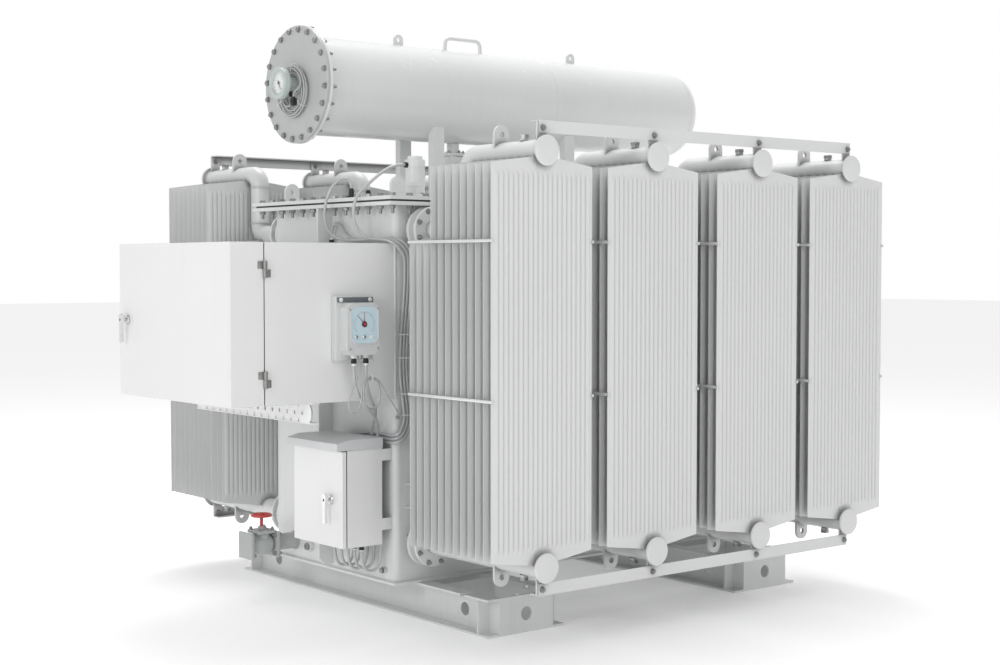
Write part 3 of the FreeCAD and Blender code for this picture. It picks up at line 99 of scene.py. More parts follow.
def make_stage():
    """Camera at the photograph's angle, soft studio light and a pale floor."""
    camera = bpy.data.cameras.new("camera")
    camera.lens = LENS
    camera.sensor_width = SENSOR_WIDTH
    camera.clip_end = 200
    eye = put("camera", camera)
    eye.location = EYE
    eye.rotation_euler = (math.pi / 2 - EYE_DIP, 0, EYE_TURN)
    bpy.context.scene.camera = eye

    floor_mesh = bpy.data.meshes.new("floor")
    reach = FLOOR_REACH
    floor_mesh.from_pydata([(-reach, -reach, 0), (reach, -reach, 0), (reach, reach, 0),
                            (-reach, reach, 0)], [], [(0, 1, 2, 3)])
    white = Nodes("floor_white", (0.96, 0.96, 0.96), 0.9)
    white.shader.inputs["Emission Color"].default_value = (1, 1, 1, 1)
    white.shader.inputs["Emission Strength"].default_value = FLOOR_GLOW
    floor_mesh.materials.append(white.material)
    put("floor", floor_mesh)

    world = bpy.data.worlds.new("studio")
    bpy.context.scene.world = world
    world.use_nodes = True
    sky = world.node_tree
    background = sky.nodes["Background"]
    background.inputs["Color"].default_value = (1, 1, 1, 1)
    facing_sky = sky.nodes.new("ShaderNodeVectorMath")
    facing_sky.operation = "DOT_PRODUCT"
    facing_sky.inputs[1].default_value = BRIGHT_SKY
    level = sky.nodes.new("ShaderNodeMapRange")
    for key, value in SKY_LEVELS.items():
        level.inputs[key].default_value = value
    place = sky.nodes.new("ShaderNodeTexCoord").outputs["Generated"]
    sky.links.new(place, facing_sky.inputs[0])
    sky.links.new(facing_sky.outputs["Value"], level.inputs["Value"])
    sky.links.new(level.outputs["Result"], background.inputs["Strength"])
    for name, (spot, aim, size, power) in LAMPS.items():
        lamp = bpy.data.lights.new(name, "AREA")
        lamp.size = size
        lamp.energy = power
        holder = put(name, lamp)
        holder.location = spot
        way = Vector(aim) - Vector(spot)
        holder.rotation_euler = way.to_track_quat("-Z", "Y").to_euler()
    bpy.context.scene.view_settings.view_transform = "Standard"
    bpy.context.scene.view_settings.exposure = 0.0


# ---------------------------------------------------------------- materials

class Nodes:
    """A material with one Principled shader, and short ways to write its node tree."""

    def __init__(self, name, colour=(1, 1, 1), roughness=0.5):
        self.material = bpy.data.materials.new(name)
        self.material.use_nodes = True
        self.tree = self.material.node_tree
        self.shader = self.tree.nodes["Principled BSDF"]
        self.shader.inputs["Base Color"].default_value = (*colour, 1)
        self.shader.inputs["Roughness"].default_value = roughness

    def add(self, kind, values=None, **settings):
        made = self.tree.nodes.new(kind)
        for key, value in settings.items():
            setattr(made, key, value)
        for key, value in (values or {}).items():
            made.inputs[key].default_value = value
        return made

    def join(self, source, target):
        self.tree.links.new(source, target)

    def noise(self, place, scale, detail, roughness=0.5):
        made = self.add("ShaderNodeTexNoise",
                        {"Scale": scale, "Detail": detail, "Roughness": roughness})
        self.join(place, made.inputs["Vector"])
        return made.outputs["Fac"]

    def ranged(self, source, **values):
        """A value brought from one range to another; the names are those of the node."""
        made = self.add("ShaderNodeMapRange",
                        {key.replace("_", " ").title(): value for key, value in values.items()})
        self.join(source, made.inputs["Value"])
        return made.outputs["Result"]

    def blend(self, factor, base, colour):
        """A colour laid over a base, which is a colour or an output, where the factor is high."""
        made = self.add("ShaderNodeMix", data_type="RGBA")
        made.inputs["B"].default_value = (*colour, 1)
        if isinstance(base, tuple):
            made.inputs["A"].default_value = (*base, 1)
        else:
            self.join(base, made.inputs["A"])
        self.join(factor, made.inputs["Factor"])
        return made.outputs["Result"]


def scaled(colour, *shares):
    """A colour with each part scaled by its own share, or by the only one, up to white."""
    shares = shares * 3 if len(shares) == 1 else shares
    return tuple(min(1.0, max(0.0, part * share)) for part, share in zip(colour, shares))


def surface(name, colour, roughness, metallic=0.0, coat=0.0, mottle=0.03, grain=180.0,
            bump=0.04, smudge=0.05, bevel=0.0015, streaks=0.0, dust=0.0, hollow=0.0):
    """A procedural finish: mottled colour, uneven gloss, fine relief and softened edges.

    Streaks run down it, dust lies in specks, and the last setting is how strongly painted shade
    (ambient occlusion darkening the colour) falls in narrow grooves and gaps.
    """
    made = Nodes(name)
    shader = made.shader
    shader.inputs["Metallic"].default_value = metallic
    shader.inputs["Coat Weight"].default_value = coat
    shader.inputs["Coat Roughness"].default_value = 0.18
    place = made.add("ShaderNodeTexCoord").outputs["Object"]
    tint = made.blend(made.noise(place, 1.7, 5.0, 0.6), scaled(colour, 1 - 2.2 * mottle),
                      scaled(colour, 1 + mottle))
    if streaks:
        stretch = made.add("ShaderNodeMapping", {"Scale": (26.0, 26.0, 0.8)})
        made.join(place, stretch.inputs["Vector"])
        run = made.noise(stretch.outputs["Vector"], 1.0, 4.0)
        run = made.ranged(run, from_min=0.52, from_max=0.78, to_max=streaks)
        tint = made.blend(run, tint, scaled(colour, 0.62, 0.6, 0.56))
    if dust:
        speck = made.noise(place, 34.0, 7.0, 0.72)
        speck = made.ranged(speck, from_min=0.58, from_max=0.72, to_max=dust)
        tint = made.blend(speck, tint, scaled(colour, 0.7, 0.68, 0.64))
    # Painted shade: the colour is darkened where ambient occlusion finds narrow grooves and close
    # neighbours.
    if hollow:
        open_sky = made.add("ShaderNodeAmbientOcclusion", {"Distance": 0.032}, samples=8)
        painted_shade = made.ranged(open_sky.outputs["AO"], from_min=0.6, from_max=0.98, to_min=hollow,
                            to_max=0.0)
        tint = made.blend(painted_shade, tint, scaled(colour, 0.3))
    made.join(tint, shader.inputs["Base Color"])

    wipe = made.noise(place, 7.0, 6.0, 0.65)
    gloss = made.ranged(wipe, to_min=max(0.03, roughness - smudge),
                        to_max=min(1.0, roughness + smudge))
    made.join(gloss, shader.inputs["Roughness"])

    relief = made.add("ShaderNodeBump", {"Strength": bump, "Distance": 0.002})
    made.join(made.noise(place, grain, 2.0), relief.inputs["Height"])
    if bevel:
        rounding = made.add("ShaderNodeBevel", {"Radius": bevel}, samples=4)
        made.join(rounding.outputs["Normal"], relief.inputs["Normal"])
    made.join(relief.outputs["Normal"], shader.inputs["Normal"])
    return made.material


def paint(colour, roughness, **settings):
    return colour, roughness, settings


SURFACES = {
    "pale_paint": paint((0.735, 0.745, 0.745), 0.34, coat=0.25, streaks=0.10, dust=0.05),
    "drum_paint": paint((0.76, 0.77, 0.77), 0.26, coat=0.45, grain=90.0, bump=0.03,
                        streaks=0.06, dust=0.03),
    # Painted shade darkens the radiators' flutes and the gaps between their panels.
    "radiator_paint": paint((0.72, 0.725, 0.725), 0.36, coat=0.2, mottle=0.02, dust=0.04,
                            bevel=0.0, hollow=0.72),
    "skid_paint": paint((0.74, 0.75, 0.75), 0.42, coat=0.1, mottle=0.05, streaks=0.16,
                        dust=0.14, bevel=0.002),
    # Darker paint for the drum's cover plate: painted shade, since the plate faces away from the
    # light (its streaks and dust are dirt).
    "shaded_cover_paint": paint((0.50, 0.51, 0.51), 0.38, coat=0.25, streaks=0.12, dust=0.08),
    "box_paint": paint((0.82, 0.825, 0.82), 0.30, coat=0.3, mottle=0.015, grain=240.0,
                       bump=0.03, streaks=0.03, dust=0.02),
    "hood_paint": paint((0.64, 0.655, 0.66), 0.40, mottle=0.04),
    "gasket_cork": paint((0.11, 0.105, 0.10), 0.85, mottle=0.2, grain=500.0, bump=0.3),
    "galvanised_steel": paint((0.80, 0.81, 0.81), 0.30, metallic=0.35, mottle=0.08,
                              grain=320.0),
    "bolt_steel": paint((0.38, 0.38, 0.37), 0.38, metallic=0.8, mottle=0.18, grain=700.0,
                        smudge=0.12, bevel=0.0004),
    "bright_steel": paint((0.70, 0.70, 0.69), 0.24, metallic=0.95, mottle=0.06, grain=600.0,
                          smudge=0.1, bevel=0.0004),
    "gauge_casing": paint((0.50, 0.56, 0.53), 0.30, coat=0.4, mottle=0.04),
    "black_plastic": paint((0.018, 0.018, 0.02), 0.42, mottle=0.2, grain=500.0),
    "white_plastic": paint((0.80, 0.80, 0.78), 0.38, grain=420.0, bevel=0.0004),
    "chrome_plate": paint((0.82, 0.82, 0.83), 0.09, metallic=1.0, mottle=0.02, smudge=0.04,
                          bump=0.01, bevel=0.0006),
    "indicator_grey": paint((0.63, 0.645, 0.645), 0.36),
    "dark_grey": paint((0.16, 0.175, 0.19), 0.45, mottle=0.08),
    "valve_casting": paint((0.46, 0.475, 0.475), 0.52, mottle=0.10, grain=260.0, bump=0.35,
                           dust=0.2),
    "red_paint": paint((0.56, 0.045, 0.035), 0.26, coat=0.5, mottle=0.08, dust=0.08),
    "hose_grey": paint((0.54, 0.55, 0.555), 0.34, mottle=0.10, metallic=0.2, bevel=0.0),
    "gauge_cable": paint((0.50, 0.51, 0.51), 0.42, mottle=0.06, bevel=0.0),
    "capillary_steel": paint((0.60, 0.61, 0.60), 0.30, metallic=0.6, mottle=0.1, grain=900.0,
                             bump=0.3, bevel=0.0),
    "dial_white": paint((0.82, 0.84, 0.84), 0.4, mottle=0.01, bevel=0.0),
    "dial_blue": paint((0.58, 0.74, 0.82), 0.4, mottle=0.02, bevel=0.0),
    "mark_black": paint((0.02, 0.02, 0.02), 0.5, bevel=0.0),
    "mark_red": paint((0.62, 0.04, 0.04), 0.45, bevel=0.0),
    "mark_blue": paint((0.06, 0.16, 0.5), 0.45, bevel=0.0),
}


def finishes():
    """Every finish by its name, which is a slot of the record or a name of its own."""
    made = {name: surface(name, colour, roughness, **settings)
            for name, (colour, roughness, settings) in SURFACES.items()}
    glass = Nodes("clear_glass", (0.96, 0.98, 0.98), 0.03)
    glass.shader.inputs["Alpha"].default_value = 0.12
    glass.shader.inputs["Specular IOR Level"].default_value = 0.7
    return {**made, "clear_glass": glass.material}


# ---------------------------------------------------------------- mesh making

def facing(way):
    """A turn that takes +Z to a direction."""
    way = Vector(way).normalized()
    if abs(way.z) > 0.999:
        return Matrix.Identity(4) if way.z > 0 else Matrix.Rotation(math.pi, 4, "X")
    side = Z_AXIS.cross(way).normalized()
    return Matrix((side, way.cross(side), way)).transposed().to_4x4()


def at(spot, way=(0, 0, 1), spin=0.0):
    """A place and a direction for a stamped form."""
    return Matrix.Translation(Vector(spot)) @ facing(way) @ Matrix.Rotation(spin, 4, "Z")


def along_z(height):
    return Matrix.Translation((0, 0, height))


def circle(sides, offset=0.0):
    """The cosine and sine of each step round a circle."""
    for index in range(sides):
        angle = 2 * math.pi * (index + offset) / sides
        yield math.cos(angle), math.sin(angle)


def band(first, second):
    """Faces between two closed rings of as many points."""
    count = len(first)
    return [(first[i], first[(i + 1) % count], second[(i + 1) % count], second[i])
            for i in range(count)]


class Form:
    """The points and faces of one piece, with a finish for each face."""

    def __init__(self):
        self.points = []
        self.faces = []
        self.tones = []

    def add(self, points, faces, tone=None):
        base = len(self.points)
        self.points.extend(tuple(point) for point in points)
        self.faces.extend(tuple(base + index for index in face) for face in faces)
        self.tones.extend([tone] * len(faces))
        return self

    def stamp(self, other, matrix=Matrix(), tone=None):
        """Another form, moved; its own tones stay unless one is given."""
        base = len(self.points)
        self.points.extend(tuple(matrix @ Vector(point)) for point in other.points)
        self.faces.extend(tuple(base + index for index in face) for face in other.faces)
        self.tones.extend(tone or own for own in other.tones)
        return self

    def turned(self, profile, sides, matrix=Matrix(), tone=None, closed=False):
        return self.stamp(lathe(profile, sides, closed), matrix, tone)

    def block(self, low, high, radius, matrix=Matrix(), tone=None, segments=2):
        return self.stamp(soft_box(low, high, radius, segments), matrix, tone)

    def bevelled(self, width, segments=2, angle=0.5):
        """The same form with its sharp edges rounded."""
        work = bmesh.new()
        spots = [work.verts.new(point) for point in self.points]
        for face in self.faces:
            work.faces.new([spots[index] for index in face])
        bmesh.ops.recalc_face_normals(work, faces=work.faces)
        sharp = [edge for edge in work.edges
                 if len(edge.link_faces) == 2 and edge.calc_face_angle(0) > angle]
        bmesh.ops.bevel(work, geom=sharp, offset=width, segments=segments, profile=0.5,
                        affect="EDGES", clamp_overlap=True)
        work.verts.index_update()
        result = Form().add([vert.co[:] for vert in work.verts],
                            [[vert.index for vert in face.verts] for face in work.faces])
        work.free()
        return result

    def piece(self, name, body, slot, finish=None, replaces=()):
        """Make the object, ride it on a body and give it its finish."""
        mesh = bpy.data.meshes.new(name)
        mesh.from_pydata(self.points, [], self.faces)
        tones = list(dict.fromkeys([finish or slot, *filter(None, self.tones)]))
        for tone in tones:
            mesh.materials.append(FINISH[tone])
        mesh.polygons.foreach_set("material_index",
                                  [tones.index(tone) if tone else 0 for tone in self.tones])
        work = bmesh.new()
        work.from_mesh(mesh)
        bmesh.ops.recalc_face_normals(work, faces=work.faces)
        work.to_mesh(mesh)
        work.free()
        mesh.shade_smooth()
        mesh.set_sharp_from_angle(angle=SHADE_ANGLE)
        made = put(name, mesh)
        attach(made, body)
        if replaces:
            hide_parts(*replaces)
        return made


def box_form(low, high):
    (a, b, c), (d, e, f) = low, high
    points = [(a, b, c), (d, b, c), (d, e, c), (a, e, c), (a, b, f), (d, b, f), (d, e, f),
              (a, e, f)]
    faces = [(0, 3, 2, 1), (4, 5, 6, 7), (0, 1, 5, 4), (1, 2, 6, 5), (2, 3, 7, 6), (3, 0, 4, 7)]
    return Form().add(points, faces)


def soft_box(low, high, radius, segments=2):
    return box_form(low, high).bevelled(radius, segments)


def prism(outline, low, high):
    """An outline in XY, drawn up from low to high in Z."""
    count = len(outline)
    points = [(x, y, z) for z in (low, high) for x, y in outline]
    foot, head = range(count), range(count, 2 * count)
    return Form().add(points, [tuple(foot)[::-1], tuple(head), *band(foot, head)])


def lathe(profile, sides=48, closed=False):
    """A (radius, height) profile turned about +Z; a zero radius closes it to a point."""
    points = []
    rings = []
    for radius, height in profile:
        count = sides if radius else 1
        rings.append(range(len(points), len(points) + count))
        points += [(radius * c, radius * s, height) for c, s in circle(count)]
    faces = []
    pairs = list(zip(rings, rings[1:]))
    if closed:
        pairs.append((rings[-1], rings[0]))
    for first, second in pairs:
        if len(first) == len(second) == sides:
            faces += band(first, second)
        elif len(first) == 1 < len(second):
            faces += [(first[0], second[i], second[(i + 1) % sides]) for i in range(sides)]
        elif len(second) == 1 < len(first):
            faces += [(first[i], first[(i + 1) % sides], second[0]) for i in range(sides)]
    return Form().add(points, faces)


def disc_profile(radius, low, high, edge):
    """A solid round disc with softened rims."""
    return [(0, low), (radius - edge, low), (radius, low + edge), (radius, high - edge),
            (radius - edge, high), (0, high)]


def bent_path(corners, radius, step=math.radians(11)):
    """Straight runs with round bends of one radius, as points."""
    spots = [Vector(corner) for corner in corners]
    path = [spots[0]]
    for before, corner, after in zip(spots, spots[1:], spots[2:]):
        into = (corner - before).normalized()
        out = (after - corner).normalized()
        turn = into.angle(out)
        centre = corner + (out - into).normalized() * (radius / math.cos(turn / 2))
        first = corner - into * radius * math.tan(turn / 2)
        axis = into.cross(out).normalized()
        count = max(2, round(turn / step))
        path += [centre + Matrix.Rotation(turn * index / count, 3, axis) @ (first - centre)
                 for index in range(count + 1)]
    return path + [spots[-1]]


def sweep(path, radius, sides=16, closed=False):
    """A round tube along points; the radius is one number or one for each point."""
    path = [Vector(point) for point in path]
    radii = radius if hasattr(radius, "__len__") else [radius] * len(path)
    count = len(path)
    side = None
    points = []
    for index, spot in enumerate(path):
        after = path[(index + 1) % count] if closed else path[min(index + 1, count - 1)]
        before = path[index - 1] if closed or index else path[0]
        way = (after - before).normalized()
        side = way.orthogonal().normalized() if side is None else side
        side = (side - way * side.dot(way)).normalized()
        other = way.cross(side)
        points += [spot + (side * c + other * s) * radii[index] for c, s in circle(sides)]
    rings = [range(index * sides, (index + 1) * sides) for index in range(count)]
    faces = [face for pair in zip(rings, rings[1:]) for face in band(*pair)]
    if closed:
        faces += band(rings[-1], rings[0])
    else:
        faces += [tuple(rings[0])[::-1], tuple(rings[-1])]
    return Form().add(points, faces)


def hex_form(width, low, high):
    """A hexagon from its width across the flats, with chamfered corners on its top face."""
    reach = width / math.sqrt(3)
    points = [(reach * share * c, reach * share * s, z)
              for share, z in ((1, low), (1, high - width * 0.06), (0.9, high))
              for c, s in circle(6)]
    foot, middle, head = range(6), range(6, 12), range(12, 18)
    faces = [tuple(foot)[::-1], tuple(head), *band(foot, middle), *band(middle, head)]
    return Form().add(points, faces)


def bolt_form(size, stud=0.0):
    """Washer and hexagon head, standing on z = 0; a stud end shows above a nut."""
    steel = "bolt_steel"
    form = Form().turned(disc_profile(size, 0, size * 0.18, size * 0.04), 16, tone=steel)
    form.stamp(hex_form(size * 1.55, size * 0.18, size * 0.86), tone=steel)
    if stud:
        foot = size * 0.8
        form.turned([(0, foot), (size * 0.47, foot), (size * 0.47, foot + stud - size * 0.1),
                     (size * 0.38, foot + stud), (0, foot + stud)], 12, tone=steel)
    return form


def spread(start, end, pitch):
    """Evenly spaced numbers from start to end, about a pitch apart."""
    count = max(1, round(abs(end - start) / pitch))
    return [start + (end - start) * index / count for index in range(count + 1)]


def weld_ring(radius, bead=0.0035, sides=64):
    """A rippled bead round a circle in XY."""
    path = [(radius * c, radius * s, 0) for c, s in circle(2 * sides)]
    return sweep(path, [bead * (1 + 0.22 * (index % 2)) for index in range(2 * sides)], 6,
                 closed=True)


def weld_line(start, end, bead=0.004, ripple=0.009):
    """A straight rippled bead."""
    start, end = Vector(start), Vector(end)
    count = max(2, round((end - start).length / ripple))
    path = [start.lerp(end, index / count) for index in range(count + 1)]
    return sweep(path, [bead * (1 + 0.25 * (index % 2)) for index in range(count + 1)], 6)


# ---------------------------------------------------------------- radiators

PANEL_WIDTH = 0.520
PANEL_PITCH = 0.048
PANEL_FOOT = 0.3835
PANEL_RISE = 0.030
RIDGE = 0.090
TALL_TOP = 1.927
SHORT_TOP = 1.630
SHORT_FIRST = 0.777
TALL_FIRST = 0.921
SHORT_COUNT = 3
TALL_COUNT = 9
RIB_COUNT = 20
EDGE_HALF = 0.0011
SEAM_RISE = 0.0007
RIB_RISE = 0.0032
BOSS_HALF = 0.0048
BOSS_RADIUS = 0.066
RIB_INSET = 0.034
LONG_RIB = 0.010
HEADER_RADIUS = 0.0445
TOP_HEADER_Z = 1.981
NECK_Z = 1.684
LOW_HEADER_Z = 0.341
VALVE_END = -0.595
RISER_Y = -0.848
HEADER_END = -1.325
CAP_FACE = -1.340
PLUG_Y = -1.192
BRACKET_FACE = -1.301


def smooth_step(value, low, high):
    share = np.clip((value - low) / (high - low), 0, 1)
    return share * share * (3 - 2 * share)


def panel_sheet(top, columns, rows, bosses):
    """Points of one pressed sheet: x and z of the grid, and how far it stands out."""
    half = PANEL_WIDTH / 2
    x = np.linspace(-half, half, columns)
    slope = np.clip((half - np.abs(x)) / (half - RIDGE / 2), 0, 1) * PANEL_RISE
    hem = 0.012
    inner = np.linspace(0, 0.045, rows)[1:]
    levels = (PANEL_FOOT + hem, *(PANEL_FOOT + hem + inner), *(top - hem - inner)[::-1], top - hem)
    z = np.array([PANEL_FOOT - slope + (hem + slope) * share for share in (0, 0.06, 0.5)]
                 + [np.full(columns, level) for level in levels]
                 + [top - hem + (hem + slope) * share for share in (0.5, 0.94, 1)])
    grid_x = np.broadcast_to(x, z.shape)
    place = grid_x / (PANEL_WIDTH / (RIB_COUNT + 1)) + (RIB_COUNT + 1) / 2
    rib = np.clip(np.round(place), 1, RIB_COUNT)
    across = 1 - smooth_step(np.abs(place - rib), 0.24, 0.5)
    inset = RIB_INSET - np.where(rib % 3 == 0, LONG_RIB, 0.0)
    along = (smooth_step(z - PANEL_FOOT - inset, -0.006, 0.010)
             * smooth_step(top - inset - z, -0.006, 0.010))
    seam = smooth_step(half - np.abs(grid_x), 0.004, 0.013)
    rim = smooth_step(np.minimum(z - (PANEL_FOOT - slope), top + slope - z), 0.002, 0.013)
    field = EDGE_HALF + SEAM_RISE * seam * rim + RIB_RISE * across * along * seam
    for centre in bosses:
        inside = BOSS_RADIUS - np.hypot(grid_x, z - centre)
        field = np.maximum(field, BOSS_HALF * smooth_step(inside, 0, 0.008))
    return grid_x, z, field


def panel_form(top, columns, rows, bosses=()):
    """Both sheets of a panel, closed round their edge; its thickness is along Y."""
    grid_x, z, field = panel_sheet(top, columns, rows, bosses)
    count, width = z.shape
    back = count * width
    points = [point for side in (-1, 1)
              for point in zip(grid_x.ravel(), (side * field).ravel(), z.ravel())]
    faces = [(start + i, start + i + 1, start + width + i + 1, start + width + i)
             for base in (0, back) for start in range(base, base + back - width, width)
             for i in range(width - 1)]
    ring = grid_edge(count, width)
    return Form().add(points, faces + band(ring, [back + index for index in ring]))


def grid_edge(rows, columns):
    """Indices of the points round a grid's edge."""
    ring = list(range(columns)) + [row * columns + columns - 1 for row in range(1, rows)]
    ring += [(rows - 1) * columns + i for i in range(columns - 2, -1, -1)]
    return ring + [row * columns for row in range(rows - 2, 0, -1)]


def radiators():
    """Name of each radiator, its side (+1 near, -1 far) and its place, drawn towards -Y."""
    for row, way in (("near", 1), ("far", -1)):
        for number in range(1, 5):
            low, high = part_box(f"radiator_{row}_{number}")
            turn = Matrix.Rotation(0 if way > 0 else math.pi, 4, "Z")
            yield f"{row}_{number}", way, Matrix.Translation(((low.x + high.x) / 2, 0, 0)) @ turn


def make_radiators():
    """Stacks of pressed panels: fine ones where a face shows, plainer ones between."""
    coarse, fine = 4 * (RIB_COUNT + 1) + 1, 10 * (RIB_COUNT + 1) + 1
    tall = {True: panel_form(TALL_TOP, fine, 7, (TOP_HEADER_Z, LOW_HEADER_Z)),
            False: panel_form(TALL_TOP, coarse, 2)}
    short = {True: panel_form(SHORT_TOP, fine, 5), False: panel_form(SHORT_TOP, coarse, 2)}
    for name, way, turn in radiators():
        bank = Form()
        for forms, first, count in ((tall, TALL_FIRST, TALL_COUNT),
                                    (short, SHORT_FIRST, SHORT_COUNT)):
            for index in range(count):
                outer = forms is tall and index == count - 1
                inner = way < 0 and index == 0
                place = Matrix.Translation((0, -(first + index * PANEL_PITCH), 0))
                bank.stamp(forms[outer or inner], turn @ place)
        bank.piece(f"panels_{name}", BODY, "radiator_paint", replaces=[f"radiator_{name}"])


def make_headers():
    """Gooseneck upper header, straight lower header, end caps, plugs and brackets."""
    cap = lathe([(HEADER_RADIUS, -0.016), (0.0575, -0.016), (0.060, -0.0135), (0.060, -0.006),
                 (0.0575, -0.003), (0.046, -0.0012), (0.024, -0.0002), (0, 0)], 48)
    plug = Form().turned([(0.017, 0), (0.017, 0.012), (0.0135, 0.014), (0.0135, 0.024)], 20)
    plug.stamp(hex_form(0.033, 0.010, 0.025), tone="bolt_steel")
    bead = weld_ring(HEADER_RADIUS + 0.001, 0.0028, 30)
    gooseneck = bent_path([(0, VALVE_END, NECK_Z), (0, RISER_Y, NECK_Z),
                           (0, RISER_Y, TOP_HEADER_Z), (0, HEADER_END, TOP_HEADER_Z)], 0.056)
    form = Form().stamp(sweep(gooseneck, HEADER_RADIUS, 40))
    form.stamp(sweep([(0, y, LOW_HEADER_Z) for y in (VALVE_END, HEADER_END)], HEADER_RADIUS, 40))
    for level, way in ((TOP_HEADER_Z, 1), (LOW_HEADER_Z, -1)):
        form.stamp(cap, at((0, CAP_FACE, level), -Y_AXIS))
        form.stamp(bead, at((0, HEADER_END + 0.002, level), -Y_AXIS))
        form.stamp(plug, at((0, PLUG_Y, level + way * HEADER_RADIUS), way * Z_AXIS))
    for level in (NECK_Z + 0.060, TOP_HEADER_Z - 0.060):
        form.stamp(bead, at((0, RISER_Y, level)))
    for low, high in ((TOP_HEADER_Z + 0.030, 2.095), (0.233, LOW_HEADER_Z - 0.030)):
        form.block((-0.025, BRACKET_FACE, low), (0.025, BRACKET_FACE + 0.008, high), 0.0012)
    for name, _, turn in radiators():
        Form().stamp(form, turn).piece(f"headers_{name}", BODY, "radiator_paint",
                                       replaces=[f"header_{name}"])


def make_valve_packs():
    """Wall stub, bolted flanges and butterfly valve body, two for each radiator."""
    body = lathe([(0.057, 0.490), (0.057, 0.526), (0.098, 0.528), (0.100, 0.530), (0.100, 0.542),
                  (0.098, 0.544), (0.074, 0.545), (0.076, 0.549), (0.076, 0.574), (0.074, 0.578),
                  (0.098, 0.579), (0.100, 0.581), (0.100, 0.593), (0.098, 0.595),
                  (HEADER_RADIUS, 0.5951)], 48)
    bead = weld_ring(0.058, 0.004, 24)
    bolt = bolt_form(0.012, 0.010)
    bolt_circle = 0.085
    pack = Form().stamp(body, at((0, 0, 0), -Y_AXIS)).stamp(bead, at((0, -0.492, 0), -Y_AXIS))
    for index in range(8):
        angle = math.pi * (index + 0.5) / 4
        x, z = bolt_circle * math.cos(angle), bolt_circle * math.sin(angle)
        for y, way in ((VALVE_END, -Y_AXIS), (-0.528, Y_AXIS)):
            pack.stamp(bolt, at((x, y, z), way, angle))
    pack.stamp(hex_form(0.018, 0.0, 0.020), at((0.074, -0.5615, 0), X_AXIS), "bolt_steel")
    form = Form()
    for _, _, turn in radiators():
        for level in (NECK_Z, LOW_HEADER_Z):
            form.stamp(pack, turn @ along_z(level))
    form.piece("valve_packs", BODY, "pale_paint", replaces=["radiator_valves"])


def make_strips():
    """Bright flat bars along the panels' edges."""
    form = Form()
    for _, _, turn in radiators():
        for edge in (-PANEL_WIDTH / 2 - 0.004, PANEL_WIDTH / 2):
            for level in (1.627, 1.008):
                form.block((edge, -1.315, level - 0.006), (edge + 0.004, -0.767, level + 0.006),
                           0.0015, turn)
    form.piece("edge_strips", BODY, "galvanised_steel", replaces=["radiator_strips"])


def make_bar_bolts():
    """Bolts that hold the tie bars to their brackets."""
    bolt = bolt_form(0.012, 0.006)
    form = Form()
    for _, _, turn in radiators():
        for level in (2.071, 0.253):
            form.stamp(bolt, turn @ at((0, -1.306, level), -Y_AXIS, 0.4))
            form.stamp(bolt, turn @ at((0, BRACKET_FACE + 0.008, level), Y_AXIS, 0.2))
    form.piece("tie_bar_bolts", BODY, "galvanised_steel", finish="bolt_steel")


# ---------------------------------------------------------------- tank and cover

def rounded_outline(x, y, radius, steps=6):
    """A rectangle in XY about the origin, x by y from its middle, with round corners."""
    outline = []
    for centre_x, centre_y, start in ((x - radius, y - radius, 0), (radius - x, y - radius, 90),
                                      (radius - x, radius - y, 180), (x - radius, radius - y, 270)):
        for index in range(steps + 1):
            angle = math.radians(start + 90 * index / steps)
            outline.append((centre_x + radius * math.cos(angle),
                            centre_y + radius * math.sin(angle)))
    return outline


def make_tank():
    """Walls with round corners on a floor plate that stands out, and the welds between."""
    low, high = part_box("tank_body")
    x, y = high.x - 0.014, high.y - 0.014
    floor_top = low.z + 0.012
    form = prism(rounded_outline(x, y, 0.028), floor_top, high.z)
    form.block(low, (high.x, high.y, floor_top), 0.002)
    for side in (-1, 1):
        by_y, by_x = side * (y + 0.001), side * (x + 0.001)
        form.stamp(weld_line((-x, by_y, floor_top), (x, by_y, floor_top)))
        form.stamp(weld_line((by_x, -y, floor_top), (by_x, y, floor_top)))
    form.piece("tank_shell", BODY, "pale_paint", replaces=["tank_body"])


def rim_spots(low, high, inset, pitch):
    """Bolt places round a rectangle, with the corners used once."""
    sides_x = low.x + inset, high.x - inset
    sides_y = low.y + inset, high.y - inset
    spots = [(x, y) for x in spread(*sides_x, pitch) for y in sides_y]
    return spots + [(x, y) for y in spread(*sides_y, pitch)[1:-1] for x in sides_x]


def make_cover_bolts():
    """Bolts round the cover: heads on top, nuts and thread ends below the rim."""
    low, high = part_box("tank_cover")
    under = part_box("tank_rim")[0].z
    head, nut = bolt_form(0.016), bolt_form(0.016, 0.022)
    form = Form()
    for number, (x, y) in enumerate(rim_spots(low, high, 0.036, 0.088)):
        spin = number * 0.7
        form.stamp(head, at((x, y, high.z), Z_AXIS, spin))
        form.stamp(nut, at((x, y, under), -Z_AXIS, spin))
    form.piece("cover_bolts", BODY, "galvanised_steel", finish="bolt_steel")


# ---------------------------------------------------------------- conservator

DRUM_Y = 0.210
DRUM_Z = 2.358
DRUM_RADIUS = 0.225
FLANGE_RADIUS = 0.267
FLANGE_THICK = 0.016
SEAM_X = 0.28


def along_x(x):
    """Places a form drawn up +Z so that it runs along +X on the drum's axis."""
    return at((x, DRUM_Y, DRUM_Z), X_AXIS)


def dished_profile(radius, crown, knuckle, steps=18):
    """Radius and rise of a dished end, from its rim to its tip."""
    rise = crown - math.sqrt((crown - knuckle) ** 2 - (radius - knuckle) ** 2)
    meet = math.atan2(radius - knuckle, crown - rise)
    half = steps // 2
    angles = [(math.pi / 2 - meet) * index / half for index in range(half + 1)]
    profile = [(radius - knuckle + knuckle * math.cos(angle), knuckle * math.sin(angle))
               for angle in angles]
    angles = [meet * (1 - index / steps) for index in range(1, steps + 1)]
    return profile + [(crown * math.sin(angle), rise - crown + crown * math.cos(angle))
                      for angle in angles]


